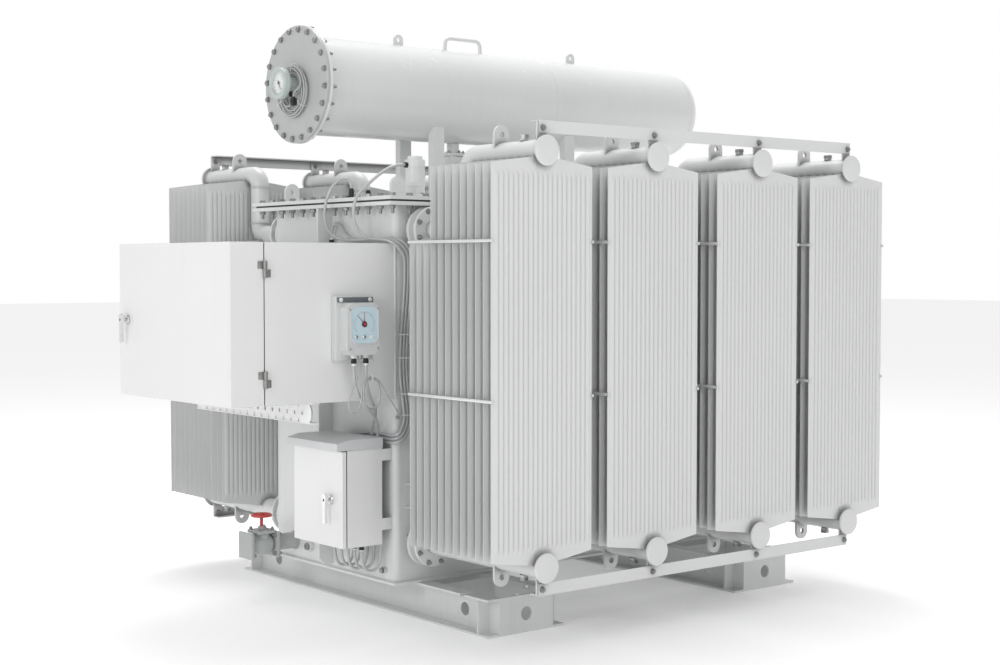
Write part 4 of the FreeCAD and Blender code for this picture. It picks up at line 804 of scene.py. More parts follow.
def make_conservator():
    """Drum with its welds, dished end, bolted cover plate and filler cap."""
    low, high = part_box("conservator_shell")
    left, right = low.x, high.x
    rim, wall = FLANGE_RADIUS, DRUM_RADIUS
    shell = Form().turned([(rim - 0.002, 0), (rim, 0.002), (rim, 0.014),
                           (rim - 0.002, FLANGE_THICK), (wall + 0.005, 0.0165),
                           (wall + 0.0008, 0.023), (wall, 0.026), (wall, right - left),
                           (wall - 0.006, right - left), (wall - 0.006, 0)],
                          128, along_x(left), closed=True)
    weld = lathe([(wall - 0.001, -0.005), (wall + 0.0014, -0.0025), (wall + 0.0018, 0),
                  (wall + 0.0014, 0.0025), (wall - 0.001, 0.005)], 128)
    for x in (SEAM_X, right):
        shell.stamp(weld, along_x(x))
    reach = wall + 0.0002
    seam = [Vector((x, DRUM_Y + reach * math.sin(0.5), DRUM_Z - reach * math.cos(0.5)))
            for x in (left + 0.03, right)]
    shell.stamp(sweep(seam, 0.0022, 6))
    shell.piece("drum_barrel", BODY, "pale_paint", "drum_paint", ["conservator_shell"])

    end = Form().turned(dished_profile(wall, 0.405, 0.078), 128, along_x(right))
    end.piece("drum_dish", BODY, "pale_paint", "drum_paint", ["conservator_head"])

    face = left - FLANGE_THICK
    plate = Form().turned(disc_profile(rim, 0, FLANGE_THICK, 0.002), 128, along_x(face))
    plate.turned([(rim - 0.006, 0.0155), (rim - 0.004, 0.0165)], 96, along_x(face), "gasket_cork")
    # The cover plate takes the darker paint that stands for painted shade on the drum's shaded end.
    plate.piece("drum_cover_plate", BODY, "pale_paint", "shaded_cover_paint", ["conservator_cover"])

    bolts = Form()
    head, nut = bolt_form(0.014), bolt_form(0.014, 0.016)
    bolt_circle = 0.247
    count = 20
    for index, (c, s) in enumerate(circle(count, 0.35)):
        angle = 2 * math.pi * (index + 0.35) / count
        y, z = DRUM_Y + bolt_circle * c, DRUM_Z + bolt_circle * s
        bolts.stamp(head, at((face, y, z), -X_AXIS, angle))
        bolts.stamp(nut, at((left + FLANGE_THICK, y, z), X_AXIS, angle))
    bolts.piece("drum_cover_bolts", BODY, "galvanised_steel", finish="bolt_steel")

    cap = Form().turned([(0, 0), (0.020, 0), (0.020, 0.012), (0.027, 0.014), (0.029, 0.040),
                         (0.026, 0.044), (0, 0.045)], 24,
                        at((left + 0.050, DRUM_Y, DRUM_Z + wall - 0.003)), "black_plastic")
    cap.piece("drum_filler_cap", BODY, "black_plastic")


def make_drum_handle():
    """A bent round bar with a weld at each foot."""
    low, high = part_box("conservator_handle")
    radius = 0.009
    top, foot = high.z - radius, DRUM_Z + DRUM_RADIUS - 0.002
    left, right = low.x + radius, high.x - radius
    corners = [(left, DRUM_Y, foot), (left + 0.004, DRUM_Y, top), (right - 0.004, DRUM_Y, top),
               (right, DRUM_Y, foot)]
    form = sweep(bent_path(corners, 0.030), radius, 20)
    for x in (left, right):
        form.stamp(weld_ring(0.010, 0.003, 14), at((x, DRUM_Y, foot + 0.003)))
    form.piece("drum_grab_bar", BODY, "pale_paint", replaces=["conservator_handle"])


def make_oil_pipe():
    """Pipe up to the drum with the gas relay between bolted flanges."""
    low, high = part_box("conservator_pipe")
    x, y = (low.x + high.x) / 2, (low.y + high.y) / 2
    base, top = low.z, high.z - 0.001
    here = at((x, y, 0))
    form = Form().turned([(0.062, base), (0.062, base + 0.012), (0.060, base + 0.014),
                          (0.034, base + 0.016), (0.030, base + 0.020), (0.030, 1.934),
                          (0.060, 1.934), (0.062, 1.936), (0.062, 1.946), (0.060, 1.948),
                          (0, 1.948)], 40, here)
    form.block((-0.055, -0.055, 1.948), (0.055, 0.055, 2.070), 0.008, here, segments=3)
    form.turned([(0, 2.070), (0.060, 2.070), (0.062, 2.072), (0.062, 2.082), (0.060, 2.084),
                 (0.032, 2.086), (0.030, 2.090), (0.030, top), (0, top)], 40, here)
    window = at((x, y - 0.0545, 2.009), -Y_AXIS)
    form.turned([(0.026, 0), (0.034, 0), (0.034, 0.005), (0.026, 0.005)], 32, window)
    form.turned(disc_profile(0.026, 0, 0.004, 0.001), 32, window, "dial_white")
    bolt = bolt_form(0.010, 0.006)
    for level, way in ((1.934, -1), (2.084, 1), (base + 0.014, 1)):
        for c, s in circle(6, 0.5):
            form.stamp(bolt, here @ at((0.050 * c, 0.050 * s, level), (0, 0, way)))
    form.piece("relay_and_pipe", BODY, "pale_paint", replaces=["conservator_pipe"])


def make_oil_gauge():
    """Round dial on a neck, with a marked white face behind glass."""
    low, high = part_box("oil_level_gauge")
    depth = high.x - low.x
    here = at((high.x, DRUM_Y, DRUM_Z), -X_AXIS)
    form = Form().turned([(0.050, 0), (0.050, 0.006), (0.036, 0.008), (0.034, 0.012),
                          (0.034, depth - 0.042), (0.046, depth - 0.038),
                          (0.068, depth - 0.034), (0.0725, depth - 0.028),
                          (0.073, depth - 0.010), (0.071, depth - 0.003), (0.067, depth),
                          (0.054, depth - 0.001), (0.050, depth - 0.004),
                          (0.048, depth - 0.012)], 72, here)
    form.turned([(0, depth - 0.0121), (0.049, depth - 0.012)], 48, here, "dial_white")
    face = here @ along_z(depth - 0.0115)
    last = 12
    for index in range(last + 1):
        tone = ("mark_red" if index < 2 or index > 10 else
                "mark_blue" if index in (5, 6, 7) else "mark_black")
        turn = Matrix.Rotation(math.radians(225 - 270 * index / last), 4, "Z")
        form.block((0.036, -0.0009, 0), (0.043 if index % 3 else 0.045, 0.0009, 0.0006), 0.0002,
                   face @ turn, tone)
    pointer = [(-0.012, -0.0026), (0.034, -0.0006), (0.036, 0), (0.034, 0.0006), (-0.012, 0.0026)]
    form.stamp(prism(pointer, 0.0015, 0.0028),
               face @ Matrix.Rotation(math.radians(-62), 4, "Z"), "mark_black")
    form.turned(disc_profile(0.006, 0, 0.005, 0.001), 20, face, "mark_black")
    form.turned([(0, 0), (0.009, 0), (0.009, 0.012), (0.0085, 0.022), (0.006, 0.028),
                 (0, 0.028)], 20, at((high.x - 0.028, DRUM_Y, DRUM_Z - 0.030), -Z_AXIS),
                "black_plastic")
    form.piece("oil_dial", BODY, "gauge_casing", replaces=["oil_level_gauge"])
    glass = Form().turned([(0, depth - 0.0055), (0.0505, depth - 0.005)], 48, here)
    glass.piece("oil_dial_glass", BODY, "gauge_casing", finish="clear_glass")


# ---------------------------------------------------------------- cover fittings

def make_relief():
    """Pressure relief valve: bolted foot, banded can, lid and side terminal."""
    low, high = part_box("pressure_relief_device")
    here = at((-0.856, -0.359, low.z))
    rise = high.z - low.z - 0.016
    form = Form().turned([(0, 0), (0.057, 0), (0.059, 0.002), (0.059, 0.014), (0.057, 0.016),
                          (0.045, 0.017), (0.043, 0.022), (0.043, 0.050), (0.045, 0.052),
                          (0.045, 0.066), (0.043, 0.068), (0.043, rise - 0.034),
                          (0.045, rise - 0.032), (0.045, rise - 0.004), (0.043, rise),
                          (0.033, rise + 0.001), (0.033, rise + 0.012), (0.030, rise + 0.016),
                          (0, rise + 0.016)], 48, here)
    form.turned([(0, 0.040), (0.016, 0.041), (0.017, 0.055), (0.013, 0.057), (0.012, 0.102),
                 (0, 0.102)], 24, here @ at((0.045, 0, rise - 0.024), -X_AXIS), "black_plastic")
    bolt = bolt_form(0.008)
    for c, s in circle(6, 0.5):
        form.stamp(bolt, here @ at((0.052 * c, 0.052 * s, 0.016)))
    form.piece("relief_valve", BODY, "pale_paint", replaces=["pressure_relief_device"])


def cable_gland(reach, radius=0.012):
    """Nut, body and dome of a cable gland, drawn up +Z."""
    form = Form().stamp(hex_form(radius * 2, 0, reach * 0.30), tone="white_plastic")
    form.turned([(radius * 0.82, reach * 0.30), (radius * 0.86, reach * 0.42),
                 (radius * 0.82, reach * 0.54)], 24, tone="black_plastic")
    form.stamp(hex_form(radius * 1.9, reach * 0.50, reach * 0.80), tone="black_plastic")
    return form.turned([(radius * 0.86, reach * 0.80), (radius * 0.80, reach * 0.93),
                        (radius * 0.64, reach), (0, reach)], 24, tone="white_plastic")


def make_sensor_heads():
    """Two thermometer heads on the cover: foot, hexagon and cap."""
    low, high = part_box("cover_sensor_heads")
    reach = high.z - low.z
    head = Form().turned([(0, 0), (0.021, 0), (0.022, 0.001), (0.022, 0.007), (0.021, 0.008),
                          (0.0118, 0.009)], 28)
    head.stamp(hex_form(0.023, 0.009, 0.020))
    head.turned([(0.0118, 0.020), (0.0118, reach - 0.012), (0.009, reach - 0.002), (0, reach)], 24)
    form = Form()
    for x, y in ((-1.080, -0.193), (-0.950, -0.133)):
        form.stamp(head, at((x, y, low.z)))
    form.piece("sensor_heads", BODY, "black_plastic", replaces=["cover_sensor_heads"])


# ---------------------------------------------------------------- doors, boxes and levers

KEY_ROSE = [(0, 0), (0.022, 0), (0.022, 0.0055), (0.019, 0.008), (0.0081, 0.008)]


def hinge_form(fixed, reach=0.030):
    """Half of a hinge, drawn with its pin along +Z: knuckle, leaf and, when fixed, the pin."""
    if fixed:
        form = Form().turned([(0, 0), (0.0082, 0), (0.009, 0.0008), (0.009, 0.0332),
                              (0.0082, 0.034), (0.005, 0.034), (0.005, 0.067), (0, 0.0675)], 28)
        return form.block((0, 0.006, 0.001), (reach, 0.009, 0.033), 0.0008)
    form = Form().turned([(0.00505, 0.035), (0.0082, 0.035), (0.009, 0.0358), (0.009, 0.0672),
                          (0.0082, 0.068), (0.00505, 0.068)], 28, closed=True)
    return form.block((-reach, 0.006, 0.036), (0, 0.009, 0.067), 0.0008)


def tray(low, high, wall):
    """A box of sheet, open at its low X."""
    (left, near, bottom), (right, far, top) = low, high
    y_low, y_high, z_low, z_high = near + wall, far - wall, bottom + wall, top - wall
    form = Form()
    for start, end in (((left, near, z_high), high), (low, (right, far, z_low)),
                       ((left, near, z_low), (right, y_low, z_high)),
                       ((left, y_high, z_low), (right, far, z_high)),
                       ((right - wall, y_low, z_low), (right, y_high, z_high))):
        form.stamp(box_form(start, end))
    return form


def pan_form(low, high, wall, crease):
    """A folded door pan, open at its high X, whose front has faint diagonal creases."""
    (front, near, bottom), (back, far, top) = low, high
    rows, columns = 29, 41
    grid_y, grid_z = np.meshgrid(np.linspace(near, far, columns), np.linspace(bottom, top, rows))
    across = np.abs((grid_y - near) / (far - near) * 2 - 1)
    up = np.abs((grid_z - bottom) / (top - bottom) * 2 - 1)
    depth = front + crease * np.maximum(across, up)
    points = list(zip(depth.ravel(), grid_y.ravel(), grid_z.ravel()))
    faces = [(r * columns + c, r * columns + c + 1, (r + 1) * columns + c + 1,
              (r + 1) * columns + c) for r in range(rows - 1) for c in range(columns - 1)]
    ring = grid_edge(rows, columns)
    outer = [(back, y, z) for _, y, z in (points[index] for index in ring)]
    lip = [(back, min(max(y, near + wall), far - wall), min(max(z, bottom + wall), top - wall))
           for _, y, z in outer]
    floor = [(front + crease + wall, y, z) for _, y, z in lip]
    count, start = len(ring), len(points)
    first, second = range(count), range(count, 2 * count)
    form = Form().add(points + outer, faces + band(ring, range(start, start + count)))
    form.add(lip + floor, [*band(first, second), tuple(second)])
    return form.add(outer + lip, band(first, second))


def lever_form(reach, thickness):
    """A hanging lever with its spindle along +Z and its arm towards -Y."""
    turns = [math.radians(-20 + 220 * index / 12) for index in range(13)]
    head = [(0.015 * math.cos(turn), 0.012 + 0.016 * math.sin(turn)) for turn in turns]
    side = [(-0.0105, -0.010), (-0.0082, -0.040), (-0.0080, 0.022 - reach),
            (-0.0100, 0.006 - reach), (-0.0060, 0.0005 - reach)]
    return prism(head + side + [(-x, y) for x, y in reversed(side)], 0, thickness)


def make_lever(name, node, spot):
    """Lever, spindle and black key knob on a door's face."""
    here = Matrix.Translation(spot) @ Matrix(((0, 0, -1), (-1, 0, 0), (0, 1, 0))).to_4x4()
    form = Form().turned([(0, -0.003), (0.008, -0.003), (0.008, 0.020), (0.011, 0.022),
                          (0.011, 0.024)], 24, here, "bright_steel")
    form.stamp(lever_form(0.100, 0.0138), here @ along_z(0.0221))
    form.turned([(0, 0.0355), (0.0095, 0.0355), (0.0095, 0.0357), (0.006, 0.0359), (0, 0.036)],
                24, here, "black_plastic")
    form.piece(name, node, "chrome_plate", replaces=[node])


BOX_HALF = 0.490
BOX_LOW = 0.965
BOX_HIGH = 1.627
BOX_HINGES = (1.072, 1.517)
HINGE_HALF = 0.034


def make_cable_box():
    """Sheet box with its fixed hinge halves, the welds to the wall and a gland on top."""
    left = -1.697
    form = tray((left, -BOX_HALF, BOX_LOW), (END_WALL, BOX_HALF, BOX_HIGH), 0.003)
    for level in BOX_HINGES:
        form.stamp(hinge_form(True), at((left - 0.0025, -BOX_HALF - 0.009, level - HINGE_HALF)),
                   "bolt_steel")
    x, top, near = END_WALL + 0.002, BOX_HIGH + 0.001, -BOX_HALF - 0.001
    form.stamp(weld_line((x, -BOX_HALF, top), (x, BOX_HALF, top), 0.003))
    form.stamp(weld_line((x, near, BOX_LOW), (x, near, BOX_HIGH), 0.003))
    form.stamp(cable_gland(0.028, 0.0118), at((-1.085, -0.040, BOX_HIGH)))
    form.piece("cable_box_shell", BODY, "box_paint", replaces=["cable_box"])


def make_box_door():
    """Creased door pan with its hinge halves, and the lever on it."""
    face, back = -1.855, -1.702
    key = (face, 0.414, 1.296)
    form = pan_form((face, -BOX_HALF, BOX_LOW), (back, BOX_HALF, BOX_HIGH), 0.003, 0.0022)
    for level in BOX_HINGES:
        form.stamp(hinge_form(False), at((-1.6995, -BOX_HALF - 0.009, level - HINGE_HALF)),
                   "bolt_steel")
    form.turned(KEY_ROSE, 40, at(key, -X_AXIS), "bright_steel")
    form.piece("cable_box_door_pan", "cable_box_door", "box_paint", replaces=["cable_box_door"])
    make_lever("cable_box_lever", "cable_box_handle", key)


def make_rail():
    """Channel under the cable box with a row of round holes in its web."""
    low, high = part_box("cable_box_rail")
    plate, pitch, hole = 0.006, 0.060, 0.009
    sides = 16
    count = int((high.y - low.y - 0.04) / pitch)
    middle = (low.z + high.z) / 2
    first = -(count - 1) * pitch / 2
    edges = [low.y, *(first + (index + 0.5) * pitch for index in range(count - 1)), high.y]
    rings = [range(start, start + sides) for start in range(0, 4 * sides, sides)]
    faces = (band(rings[0], rings[1]) + band(rings[3], rings[2]) + band(rings[1], rings[3]))
    form = Form()
    for index in range(count):
        centre = first + index * pitch
        outer, inner = [], []
        for c, s in circle(sides, 0.5):
            edge = edges[index + 1] if c > 0 else edges[index]
            reach = min((edge - centre) / c, (high.z - plate - middle) / abs(s))
            outer.append((centre + c * reach, middle + s * reach))
            inner.append((centre + hole * c, middle + hole * s))
        form.add([(x, y, z) for x in (low.x, low.x + plate) for y, z in outer + inner], faces)
    for level in (high.z - plate, low.z):
        form.block((low.x, low.y, level), (high.x, high.y, level + plate), 0.0015)
    form.piece("drilled_rail", BODY, "box_paint", replaces=["cable_box_rail"])


def cut_corners(left, right, low, high, corner=0.022):
    """A rectangle with its corners cut off."""
    return [(left + corner, low), (right - corner, low), (right, low + corner),
            (right, high - corner), (right - corner, high), (left + corner, high),
            (left, high - corner), (left, low + corner)]


def make_indicator_box():
    """Back box on the cable box's side, with its strap and screws."""
    low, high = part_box("indicator_back_box")
    face = -0.528
    form = soft_box((low.x, face, low.z), (high.x, -0.4902, high.z), 0.004, segments=3)
    form.block((low.x + 0.005, face - 0.005, 1.381), (high.x - 0.005, face, 1.401), 0.001,
               tone="dark_grey")
    for x in (low.x + 0.022, high.x - 0.022):
        form.turned([(0, 0), (0.009, 0), (0.009, 0.003), (0.007, 0.006), (0, 0.007)], 20,
                    at((x, face - 0.005, 1.391), -Y_AXIS), "white_plastic")
    form.piece("indicator_box", BODY, "indicator_grey", replaces=["indicator_back_box"])


def make_indicator():
    """Case with its window, dial, pointers, knobs, screws and glands."""
    make_indicator_box()
    left, right, bottom, top = -1.366, -1.206, 1.162, 1.379
    front, back, mid_y = -0.590, -0.528, -0.559
    case = Form().stamp(prism(cut_corners(left, right, bottom, top)[::-1], front, back), SWAP_YZ)
    window = cut_corners(-1.349, -1.215, 1.209, 1.366)
    count = len(window)
    mid_x, mid_z = (sum(spot[axis] for spot in window) / count for axis in (0, 1))
    rings = [[(mid_x + (x - mid_x) * share, y, mid_z + (z - mid_z) * share) for x, z in window]
             for share, y in ((1.05, front - 0.0005), (1.03, front - 0.004),
                              (0.98, front - 0.004), (0.96, front - 0.0012))]
    marks = [range(start, start + count) for start in range(0, 4 * count, count)]
    case.add([point for ring in rings for point in ring],
             [face for pair in zip(marks, marks[1:]) for face in band(*pair)])
    case.add(rings[3], [tuple(range(count))], "dial_blue")

    hub = at((-1.285, front - 0.002, 1.291), -Y_AXIS)
    last = 24
    for index in range(last + 1):
        turn = Matrix.Rotation(math.radians(215 - 250 * index / last), 4, "Z")
        case.block((0.047 if index % 4 else 0.044, -0.0006, 0), (0.052, 0.0006, 0.0008), 0.0002,
                   hub @ turn, "mark_black")
    needle = prism([(-0.014, -0.002), (0.046, -0.0005), (0.048, 0), (0.046, 0.0005),
                    (-0.014, 0.002)], 0.0014, 0.0026)
    for angle, tone in ((132, "mark_black"), (92, "mark_red")):
        case.stamp(needle, hub @ Matrix.Rotation(math.radians(angle), 4, "Z"), tone)
    case.turned([(0, 0), (0.012, 0), (0.012, 0.0035), (0.010, 0.0045), (0, 0.005)], 24, hub,
                "mark_black")
    case.turned([(0, 0.0045), (0.006, 0.0045), (0.006, 0.0062), (0, 0.0065)], 20, hub, "mark_red")
    for x, tone in ((-1.325, "bright_steel"), (-1.286, "bright_steel"),
                    (-1.251, "white_plastic")):
        case.turned([(0, 0), (0.008, 0), (0.008, 0.005), (0.0065, 0.007), (0, 0.0072)], 20,
                    at((x, front - 0.0012, 1.238), -Y_AXIS), tone)
    for x in (left + 0.012, right - 0.012):
        for z in (bottom + 0.028, top - 0.028):
            case.turned([(0, 0), (0.0055, 0), (0.0055, 0.002), (0.004, 0.0035), (0, 0.004)], 16,
                        at((x, front, z), -Y_AXIS), "bright_steel")
    for x in (-1.316, -1.256):
        case.stamp(cable_gland(0.044), at((x, mid_y, bottom), -Z_AXIS))
    case.turned([(0.006, 0), (0.006, 0.012), (0.004, 0.014), (0, 0.014)], 18,
                at((-1.286, mid_y, bottom), -Z_AXIS), "bright_steel")
    case.piece("indicator_dial_case", BODY, "indicator_grey", replaces=["indicator_case"])
    glass = Form().add([(x, front - 0.0045, z) for x, _, z in rings[3]], [tuple(range(count))])
    glass.piece("indicator_glass", BODY, "indicator_grey", finish="clear_glass")


def make_control_box():
    """Cabinet on four lugs with its glands, door, lever and rain hood."""
    front, back = -1.290, -1.112
    near, far = -0.468, -0.084
    bottom, top = 0.341, 0.755
    hinges = (0.430, 0.650)
    form = tray((front, near, bottom), (back, far, top), 0.002)
    for y in (near, far - 0.006):
        for level in (0.402, 0.700):
            form.block((back - 0.001, y, level), (END_WALL, y + 0.006, level + 0.050), 0.001)
    for index in range(1, 6):
        form.stamp(cable_gland(0.028, 0.0115),
                   at((-1.187, near + 0.052 * index - 0.004, bottom), -Z_AXIS))
    for level in hinges:
        form.stamp(hinge_form(True),
                   at((front - 0.0025, far + 0.009, level - HINGE_HALF)) @ MIRROR_Y)
    form.piece("control_box_shell", BODY, "box_paint", replaces=["control_box"])

    face = -1.314
    key = (face, -0.377, 0.542)
    door = pan_form((face, near, bottom), (-1.295, far, 0.750), 0.002, 0.0008)
    for level in hinges:
        door.stamp(hinge_form(False, 0.018),
                   at((front - 0.0025, far + 0.009, level - HINGE_HALF)) @ MIRROR_Y)
    door.turned(KEY_ROSE, 40, at(key, -X_AXIS), "bright_steel")
    door.piece("control_box_door_pan", "control_box_door", "box_paint",
               replaces=["control_box_door"])
    make_lever("control_box_lever", "control_box_handle", key)

    low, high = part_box("control_box_hood")
    outline = [(low.x, low.z), (high.x, low.z), (high.x, high.z), (low.x + 0.060, high.z),
               (low.x, high.z - 0.014)]
    hood = Form().stamp(prism(outline, low.y, high.y), SWAP_YZ)
    hood.piece("rain_hood", BODY, "hood_paint", replaces=["control_box_hood"])


# ---------------------------------------------------------------- drain valve

def make_drain_valve():
    """Flanged gate valve low on the end wall, and its three-spoked handwheel."""
    y, z = 0.322, 0.250
    stem_x, wheel_z = -1.240, 0.384
    plate, neck = 0.016, 0.115
    reach = END_WALL + 1.327
    here, up = at((END_WALL, y, z), -X_AXIS), at((stem_x, y, 0))
    form = Form().turned([(0.038, 0), (0.038, neck), (0.030, 0.131), (0.030, 0.134),
                          (0.046, 0.146), (0.048, 0.156), (0.048, 0.206), (0.044, 0.222),
                          (0.036, 0.236), (0.036, reach - plate)], 48, here)
    form.stamp(weld_ring(0.039, 0.004, 28), at((END_WALL - 0.002, y, z), -X_AXIS))
    flange = soft_box((-0.060, -0.060, 0), (0.060, 0.060, plate), 0.004, segments=3)
    for height in (neck, reach - plate):
        form.stamp(flange, here @ along_z(height))
    bolt, small = bolt_form(0.012, 0.008), bolt_form(0.010, 0.006)
    corners = [(a, b) for a in (-1, 1) for b in (-1, 1)]
    half_turn = Matrix.Rotation(math.pi, 4, "X")
    for a, b in corners:
        spot = here @ at((a * 0.044, b * 0.044, 0))
        form.stamp(bolt, spot @ along_z(reach - plate) @ half_turn)
        form.stamp(bolt, spot @ along_z(neck + plate))
        form.stamp(bolt, spot @ along_z(neck) @ half_turn)
    form.turned([(0.038, 0.252), (0.038, 0.296), (0.046, 0.302)], 40, up)
    form.block((-0.048, -0.048, 0.302), (0.048, 0.048, 0.318), 0.004, up, segments=3)
    form.turned([(0.018, 0.318), (0.018, 0.322), (0.0165, 0.324), (0.0165, 0.330),
                 (0.013, 0.334), (0.0081, 0.334)], 28, up)
    for a, b in corners:
        form.stamp(small, up @ at((a * 0.036, b * 0.036, 0.318)))
    form.piece("drain_gate_valve", BODY, "valve_casting", replaces=["drain_valve"])

    hub = up @ along_z(wheel_z)
    rim = [(0.043 + 0.007 * c, 0.007 * s) for c, s in circle(18)]
    wheel = Form().turned(rim, 72, hub, closed=True)
    wheel.turned([(0, -0.050), (0.008, -0.050), (0.008, -0.010), (0.014, -0.009),
                  (0.015, 0.006), (0.012, 0.010), (0.006, 0.011), (0, 0.0115)], 32, hub)
    for c, s in circle(3):
        spoke = [(r * c, r * s, 0) for r in (0.008, 0.020, 0.032, 0.044)]
        wheel.stamp(sweep(spoke, [0.0050, 0.0043, 0.0041, 0.0048], 14), hub)
    wheel.piece("red_handwheel", "drain_handwheel", "red_paint", replaces=["drain_handwheel"])


def make_wall_fittings():
    """Two plugs low on the wall and the pocket of the capillary."""
    plug, sample = at((END_WALL, 0.175, 0.241), -X_AXIS), at((END_WALL, -0.419, 0.218), -X_AXIS)
    form = Form().turned([(0.023, 0), (0.023, 0.020), (0.021, 0.022), (0.017, 0.022)], 32, plug)
    form.stamp(hex_form(0.030, 0.020, 0.034), plug, "bolt_steel")
    form.turned([(0.014, 0), (0.014, 0.016), (0.013, 0.018)], 28, sample, "bright_steel")
    form.stamp(hex_form(0.020, 0.018, 0.030), sample, "bolt_steel")
    form.turned([(0.008, 0), (0.008, 0.009), (0.0065, 0.012), (0, 0.012)], 24,
                at((-1.050, -0.490, 0.884), -Y_AXIS), "bright_steel")
    form.piece("small_fittings", BODY, "pale_paint", replaces=["tank_wall_fittings"])


# ---------------------------------------------------------------- cables and cords

HOSE_RADIUS = 0.007
STRAP_RADIUS = 0.0013
TRUNK = [((-1080, -425, 1645), (-16, 0, 0)), ((-1073, -508, 1652), (-16, -4, -5)),
         ((-1032, -530, 1630), (-16, 0, -11)), ((-1000, -525, 1588), (-16, 0, -8)),
         ((-991, -513, 1525), (-16, 0, 0)), ((-994, -514, 1420), (-16, 0, 0)),
         ((-1006, -513, 1300), (-16, 0, 0)), ((-1016, -514, 1190), (-16, 0, 0)),
         ((-1018, -513, 1085), (-16, 0, 0)), ((-1008, -514, 985), (-16, 0, 0)),
         ((-993, -513, 900), (-16, 0, 0)), ((-1001, -517, 840), (-16, 0, 10)),
         ((-1038, -525, 790), (-10, -1, 15)), ((-1076, -508, 776), (-1, 0, 16)),
         ((-1073, -450, 775), (0, 0, 16))]
FEEDS = {  # points of each cable up to the bundle, in millimetres
    "from_box": [(-1085, -40, 1655), (-1085, -40, 1692), (-1083, -64, 1724),
                 (-1080, -104, 1714), (-1078, -142, 1670), (-1078, -200, 1645),
                 (-1082, -310, 1646)],
    "from_sensor": [(-1080, -193, 1872), (-1080, -193, 1900), (-1108, -184, 1920),
                    (-1150, -170, 1898), (-1176, -148, 1840), (-1182, -130, 1770),
                    (-1166, -116, 1705), (-1132, -124, 1662), (-1101, -162, 1645),
                    (-1096, -240, 1644), (-1099, -340, 1646)],
    "from_relief": [(-913, -359, 1973), (-962, -359, 1973), (-1036, -360, 1936),
                    (-1100, -357, 1886), (-1160, -352, 1836), (-1178, -345, 1758),
                    (-1158, -346, 1690), (-1124, -370, 1652)],
}
INDICATOR_FEEDS = {
    "from_dial_left": [(-1316, -559, 1118), (-1316, -559, 1072), (-1296, -551, 1008),
                       (-1248, -534, 948), (-1186, -508, 903), (-1132, -462, 868),
                       (-1104, -424, 826), (-1099, -421, 760)],
    "from_dial_right": [(-1256, -559, 1118), (-1256, -559, 1070), (-1238, -547, 1014),
                        (-1204, -524, 965), (-1160, -490, 925), (-1122, -434, 892),
                        (-1102, -384, 848), (-1099, -368, 785)],
}
LANES = (-420, -368, -316, -264, -212)


def bundle_run(step):
    """The bundle's points for one of its cables."""
    return [tuple(spot + step * more for spot, more in zip(point, shift))
            for point, shift in TRUNK]


def trunk_run(step, lane):
    """One cable of the bundle, then its turn down into its own lane behind the cabinet."""
    points = bundle_run(step)
    level = points[-1][2]
    return points + [(-1075, lane - 32, level - 1), (-1077, lane - 2, level - 44)]


def final_loop(lane, low):
    """Down the gap behind the cabinet, under it and up into a gland."""
    return [(-1092, lane + 1, 600), (-1090, lane - 1, 450), (-1086, lane, 335), (-1087, lane, 266),
            (-1110, lane, low), (-1163, lane, low), (-1187, lane, 266), (-1187, lane, 313)]


def spline(name, points):
    """A curve of one smooth open NURBS spline with the route's points as its control points."""
    data = bpy.data.curves.new(name, "CURVE")
    data.dimensions = "3D"
    data.resolution_u = 8
    line = data.splines.new("NURBS")
    line.points.add(len(points) - 1)
    for spot, point in zip(line.points, points):
        spot.co = (*point, 1)
    line.order_u = 3
    line.use_endpoint_u = True
    return put(name, data)


def line_points(points, step):
    """Evenly spaced points along the NURBS line of a route."""
    guide = spline("route_guide", points)
    bpy.context.view_layer.update()
    mesh = bpy.data.meshes.new_from_object(guide)
    spots = [vert.co.copy() for vert in mesh.vertices]
    bpy.data.meshes.remove(mesh)
    bpy.data.curves.remove(guide.data)
    steps = [(second - first).length for first, second in zip(spots, spots[1:])]
    reach = np.concatenate([[0], np.cumsum(steps)])
    count = max(2, round(reach[-1] / step))
    marks = np.linspace(0, reach[-1], count + 1)
    columns = [np.interp(marks, reach, [spot[axis] for spot in spots]) for axis in range(3)]
    return [Vector(point) for point in zip(*columns)]


def metres(points):
    """Points in millimetres, brought to metres."""
    return [tuple(value / 1000 for value in point) for point in points]


def make_hoses():
    """Corrugated conduits, held at both ends and tied along the wall."""
    routes = [points + final_loop(lane, low)
              for points, lane, low in zip(INDICATOR_FEEDS.values(), LANES, (222, 228))]
    routes += [points + trunk_run(step, lane) + final_loop(lane, low)
               for step, (points, lane, low) in enumerate(
                   zip(FEEDS.values(), LANES[2:], (217, 226, 220)))]
    form = Form()
    for points in routes:
        path = line_points(metres(points), 0.003)
        radii = [HOSE_RADIUS - 0.0006 * (index % 2) for index in range(len(path))]
        form.stamp(sweep(path, radii, 12))
    form.piece("cable_hoses", BODY, "hose_grey", replaces=["control_cables"])


def strap(spots, normal, reach):
    """Three turns of a cable tie along a closed line, side by side."""
    form = Form()
    for shift in (-reach, 0, reach):
        form.stamp(sweep([spot + normal * shift for spot in spots], STRAP_RADIUS, 8, closed=True))
    return form


def tie_form(spots, centre):
    """A cable tie drawn tight round some upright hoses."""
    side = Z_AXIS.orthogonal().normalized()
    other = Z_AXIS.cross(side)
    count = 36
    ways = [side * c + other * s for c, s in circle(count)]
    reach = [max((spot - centre).dot(way) for spot in spots) + HOSE_RADIUS + STRAP_RADIUS
             for way in ways]
    smooth = [max(reach[(index + shift) % count] * math.cos(2 * math.pi * shift / count)
                  for shift in range(-2, 3)) for index in range(count)]
    return strap([centre + way * out for way, out in zip(ways, smooth)], Z_AXIS, 0.0015)


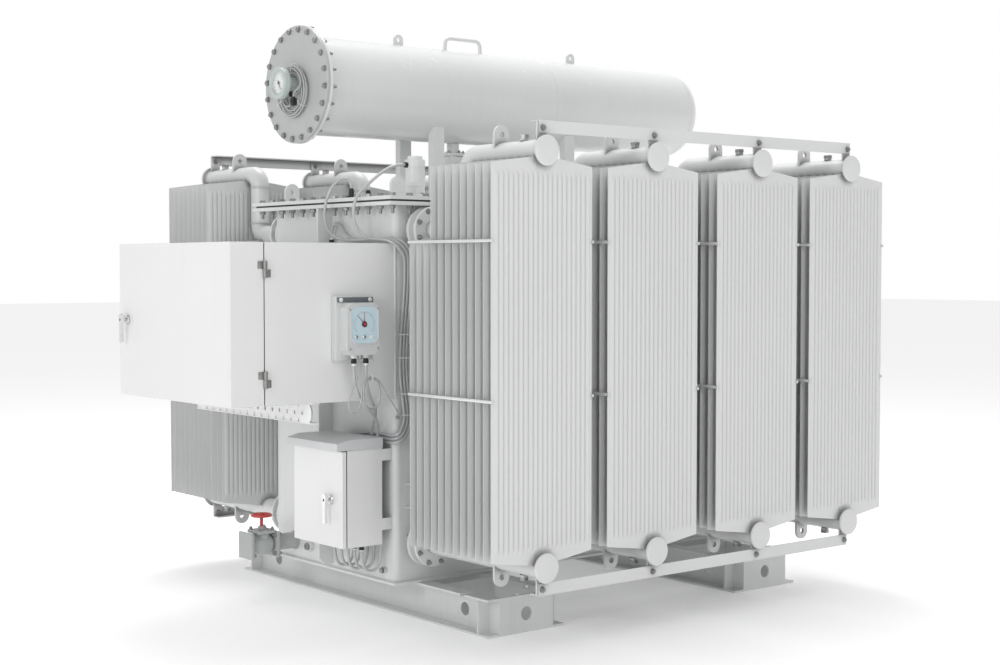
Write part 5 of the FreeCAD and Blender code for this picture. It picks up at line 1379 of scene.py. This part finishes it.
def make_ties():
    """White cable ties round the bundle, each with its head and tail."""
    form = Form()
    routes = [line_points(metres(bundle_run(step)), 0.004) for step in range(3)]
    for height in (1.240, 1.140, 0.985, 0.895):
        layer = [min(path, key=lambda spot: abs(spot.z - height) + (9 if spot.y > -0.505 else 0))
                 for path in routes]
        middle = sum(layer, Vector()) / 3
        form.stamp(tie_form(layer, middle))
        head, half = middle + Vector((0.012, -0.010, 0)), Vector((0.004, 0.003, 0.004))
        form.block(head - half, head + half, 0.001)
        tail = [head + Vector(shift) for shift in ((0, -0.003, 0.001), (0.003, -0.014, 0.004),
                                                   (0.004, -0.026, 0.002))]
        form.stamp(sweep(line_points(tail, 0.003), 0.0011, 6))
    form.piece("cable_ties", BODY, "black_plastic", finish="white_plastic")


COIL_TURNS = [(80, -1140), (90.5, -1131), (76.5, -1120.5), (100, -1119), (112, -1123), (120, -1133),
              (111, -1143), (98, -1144)]
HANK_TURNS = [(50, -577), (45, -571), (38, -576), (44, -581.5), (54.6, -583)]
TURN_POINTS = 16


def turn_place(turns, place):
    """Between one turn's pair of numbers and the next."""
    index = min(int(place), len(turns) - 2)
    share = place - index
    return [first + (second - first) * share
            for first, second in zip(turns[index], turns[index + 1])]


def gauge_route():
    """Out of the gland, down, round the coil and up to the plug, in millimetres."""
    points = [(-1140, 210, 2300), (-1140, 210, 2278), (-1140, 215, 2258)]
    start, finish = -58, 360 * 6 + 158
    count = round((finish - start) / 360 * TURN_POINTS)
    for index in range(count + 1):
        angle = start + (finish - start) * index / count
        radius, x = turn_place(COIL_TURNS, (angle - start) / 360)
        radius += 1.5 * math.sin(math.radians(2 * angle + 60))
        turn = math.radians(angle)
        points.append((x, 210 + radius * math.cos(turn), 2325 + radius * math.sin(turn)))
    return points + [(-1150, 120, 2333), (-1160, 138, 2322), (-1162, 150, 2308), (-1162, 150, 2294)]


def capillary_route():
    """From the nipple, round the hank and down to the pocket in the wall, in millimetres."""
    points = [(-1286, -559, 1148), (-1286, -559, 1122), (-1300, -567, 1074), (-1330, -575, 1022),
              (-1357, -577, 976), (-1353, -577, 937), (-1329, -577, 920), (-1304, -577, 938),
              (-1290, -577, 978)]
    turns = 3.375
    count = round(turns * TURN_POINTS)
    for index in range(count + 1):
        place = turns * index / count
        half, y = turn_place(HANK_TURNS, place)
        angle = math.pi - 2 * math.pi * place
        lift = max(-1, min(1, 2 * math.sin(angle)))
        points.append((-1240 + half * math.cos(angle), y, 999 + half * math.sin(angle) + 22 * lift))
    return points + [(-1182, -574, 1030), (-1150, -567, 985), (-1112, -556, 942),
                     (-1076, -541, 906), (-1051, -524, 885), (-1050, -502, 884)]


def corded(name, points, radius, finish):
    """A round cord along a route, kept as a curve."""
    made = spline(name, points)
    made.data.bevel_depth = radius
    made.data.bevel_resolution = 3
    made.data.use_fill_caps = True
    made.data.materials.append(FINISH[finish])
    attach(made, BODY)
    return made


def make_cords():
    """The oil gauge's spare cable with its plug, and the thermometer's capillary."""
    low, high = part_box("gauge_cable_plug")
    middle = (low + high) / 2
    form = soft_box(low, (high.x, high.y, high.z - 0.006), 0.003, segments=3)
    form.turned([(0.0085, -0.008), (0.0085, -0.004), (0.0065, -0.0015), (0.0045, 0)], 20,
                at((middle.x, middle.y, high.z)))
    for level in (0.010, 0.016, 0.022):
        form.block((low.x, low.y + 0.002, low.z + level),
                   (low.x + 0.001, high.y - 0.002, low.z + level + 0.002), 0.0004)
    plug = form.piece("gauge_plug", BODY, "black_plastic", replaces=["gauge_cable_plug"])
    cable = corded("gauge_cable", metres(gauge_route()), 0.0035, "gauge_cable")
    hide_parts("gauge_cable_coil", "gauge_cable_lead")
    capillary = corded("capillary_tube", metres(capillary_route()), 0.0025, "capillary_steel")
    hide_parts("capillary_loop", "capillary_coil", "capillary_lead")
    make_coil_ties()


def square_loop(centre, across, up):
    """A closed line drawn out from a circle towards a square."""
    return [centre + across * math.copysign(abs(c) ** 0.6, c) + up * math.copysign(abs(s) ** 0.6, s)
            for c, s in circle(24)]


def make_coil_ties():
    """Ties round the gauge cable's coil, and one round the capillary's hank."""
    form = Form()
    for angle in (100, 215, 330):
        turn = math.radians(angle)
        way = Vector((0, math.cos(turn), math.sin(turn)))
        spots = square_loop(Vector((-1.132, 0.210, 2.325)) + way * 0.099, way * 0.0275,
                            X_AXIS * 0.0180)
        form.stamp(sweep(spots, STRAP_RADIUS, 8, closed=True))
    spots = square_loop(Vector((-1.240, -0.5765, 1.0655)), Z_AXIS * 0.0125, Y_AXIS * 0.0092)
    form.stamp(strap(spots, X_AXIS, 0.0022))
    form.piece("coil_ties", BODY, "black_plastic", finish="white_plastic")


# ---------------------------------------------------------------- CAD nodes that stay

KEPT = {"skid_left": "skid_paint", "skid_right": "skid_paint", "tank_rim": "pale_paint",
        "tank_cover": "pale_paint", "cover_gasket": "gasket_cork", "tank_ribs": "pale_paint",
        "header_lugs": "radiator_paint", "lifting_lugs": "pale_paint",
        "conservator_supports": "pale_paint", "tie_bars_near": "radiator_paint",
        "tie_bars_far": "radiator_paint", "cable_clips": "galvanised_steel"}


def paint_kept_nodes():
    """Give the CAD nodes that no piece replaces their finish."""
    for node, finish in KEPT.items():
        for made in bpy.data.objects:
            if made.get("node") == node or made.name == node:
                for slot in made.material_slots:
                    slot.material = FINISH[finish]


FINISH = finishes()
make_stage()
make_cords()
make_hoses()
make_ties()
make_radiators()
make_headers()
make_valve_packs()
make_strips()
make_bar_bolts()
make_tank()
make_cover_bolts()
make_conservator()
make_drum_handle()
make_oil_pipe()
make_oil_gauge()
make_relief()
make_sensor_heads()
make_cable_box()
make_box_door()
make_rail()
make_indicator()
make_control_box()
make_drain_valve()
make_wall_fittings()
paint_kept_nodes()
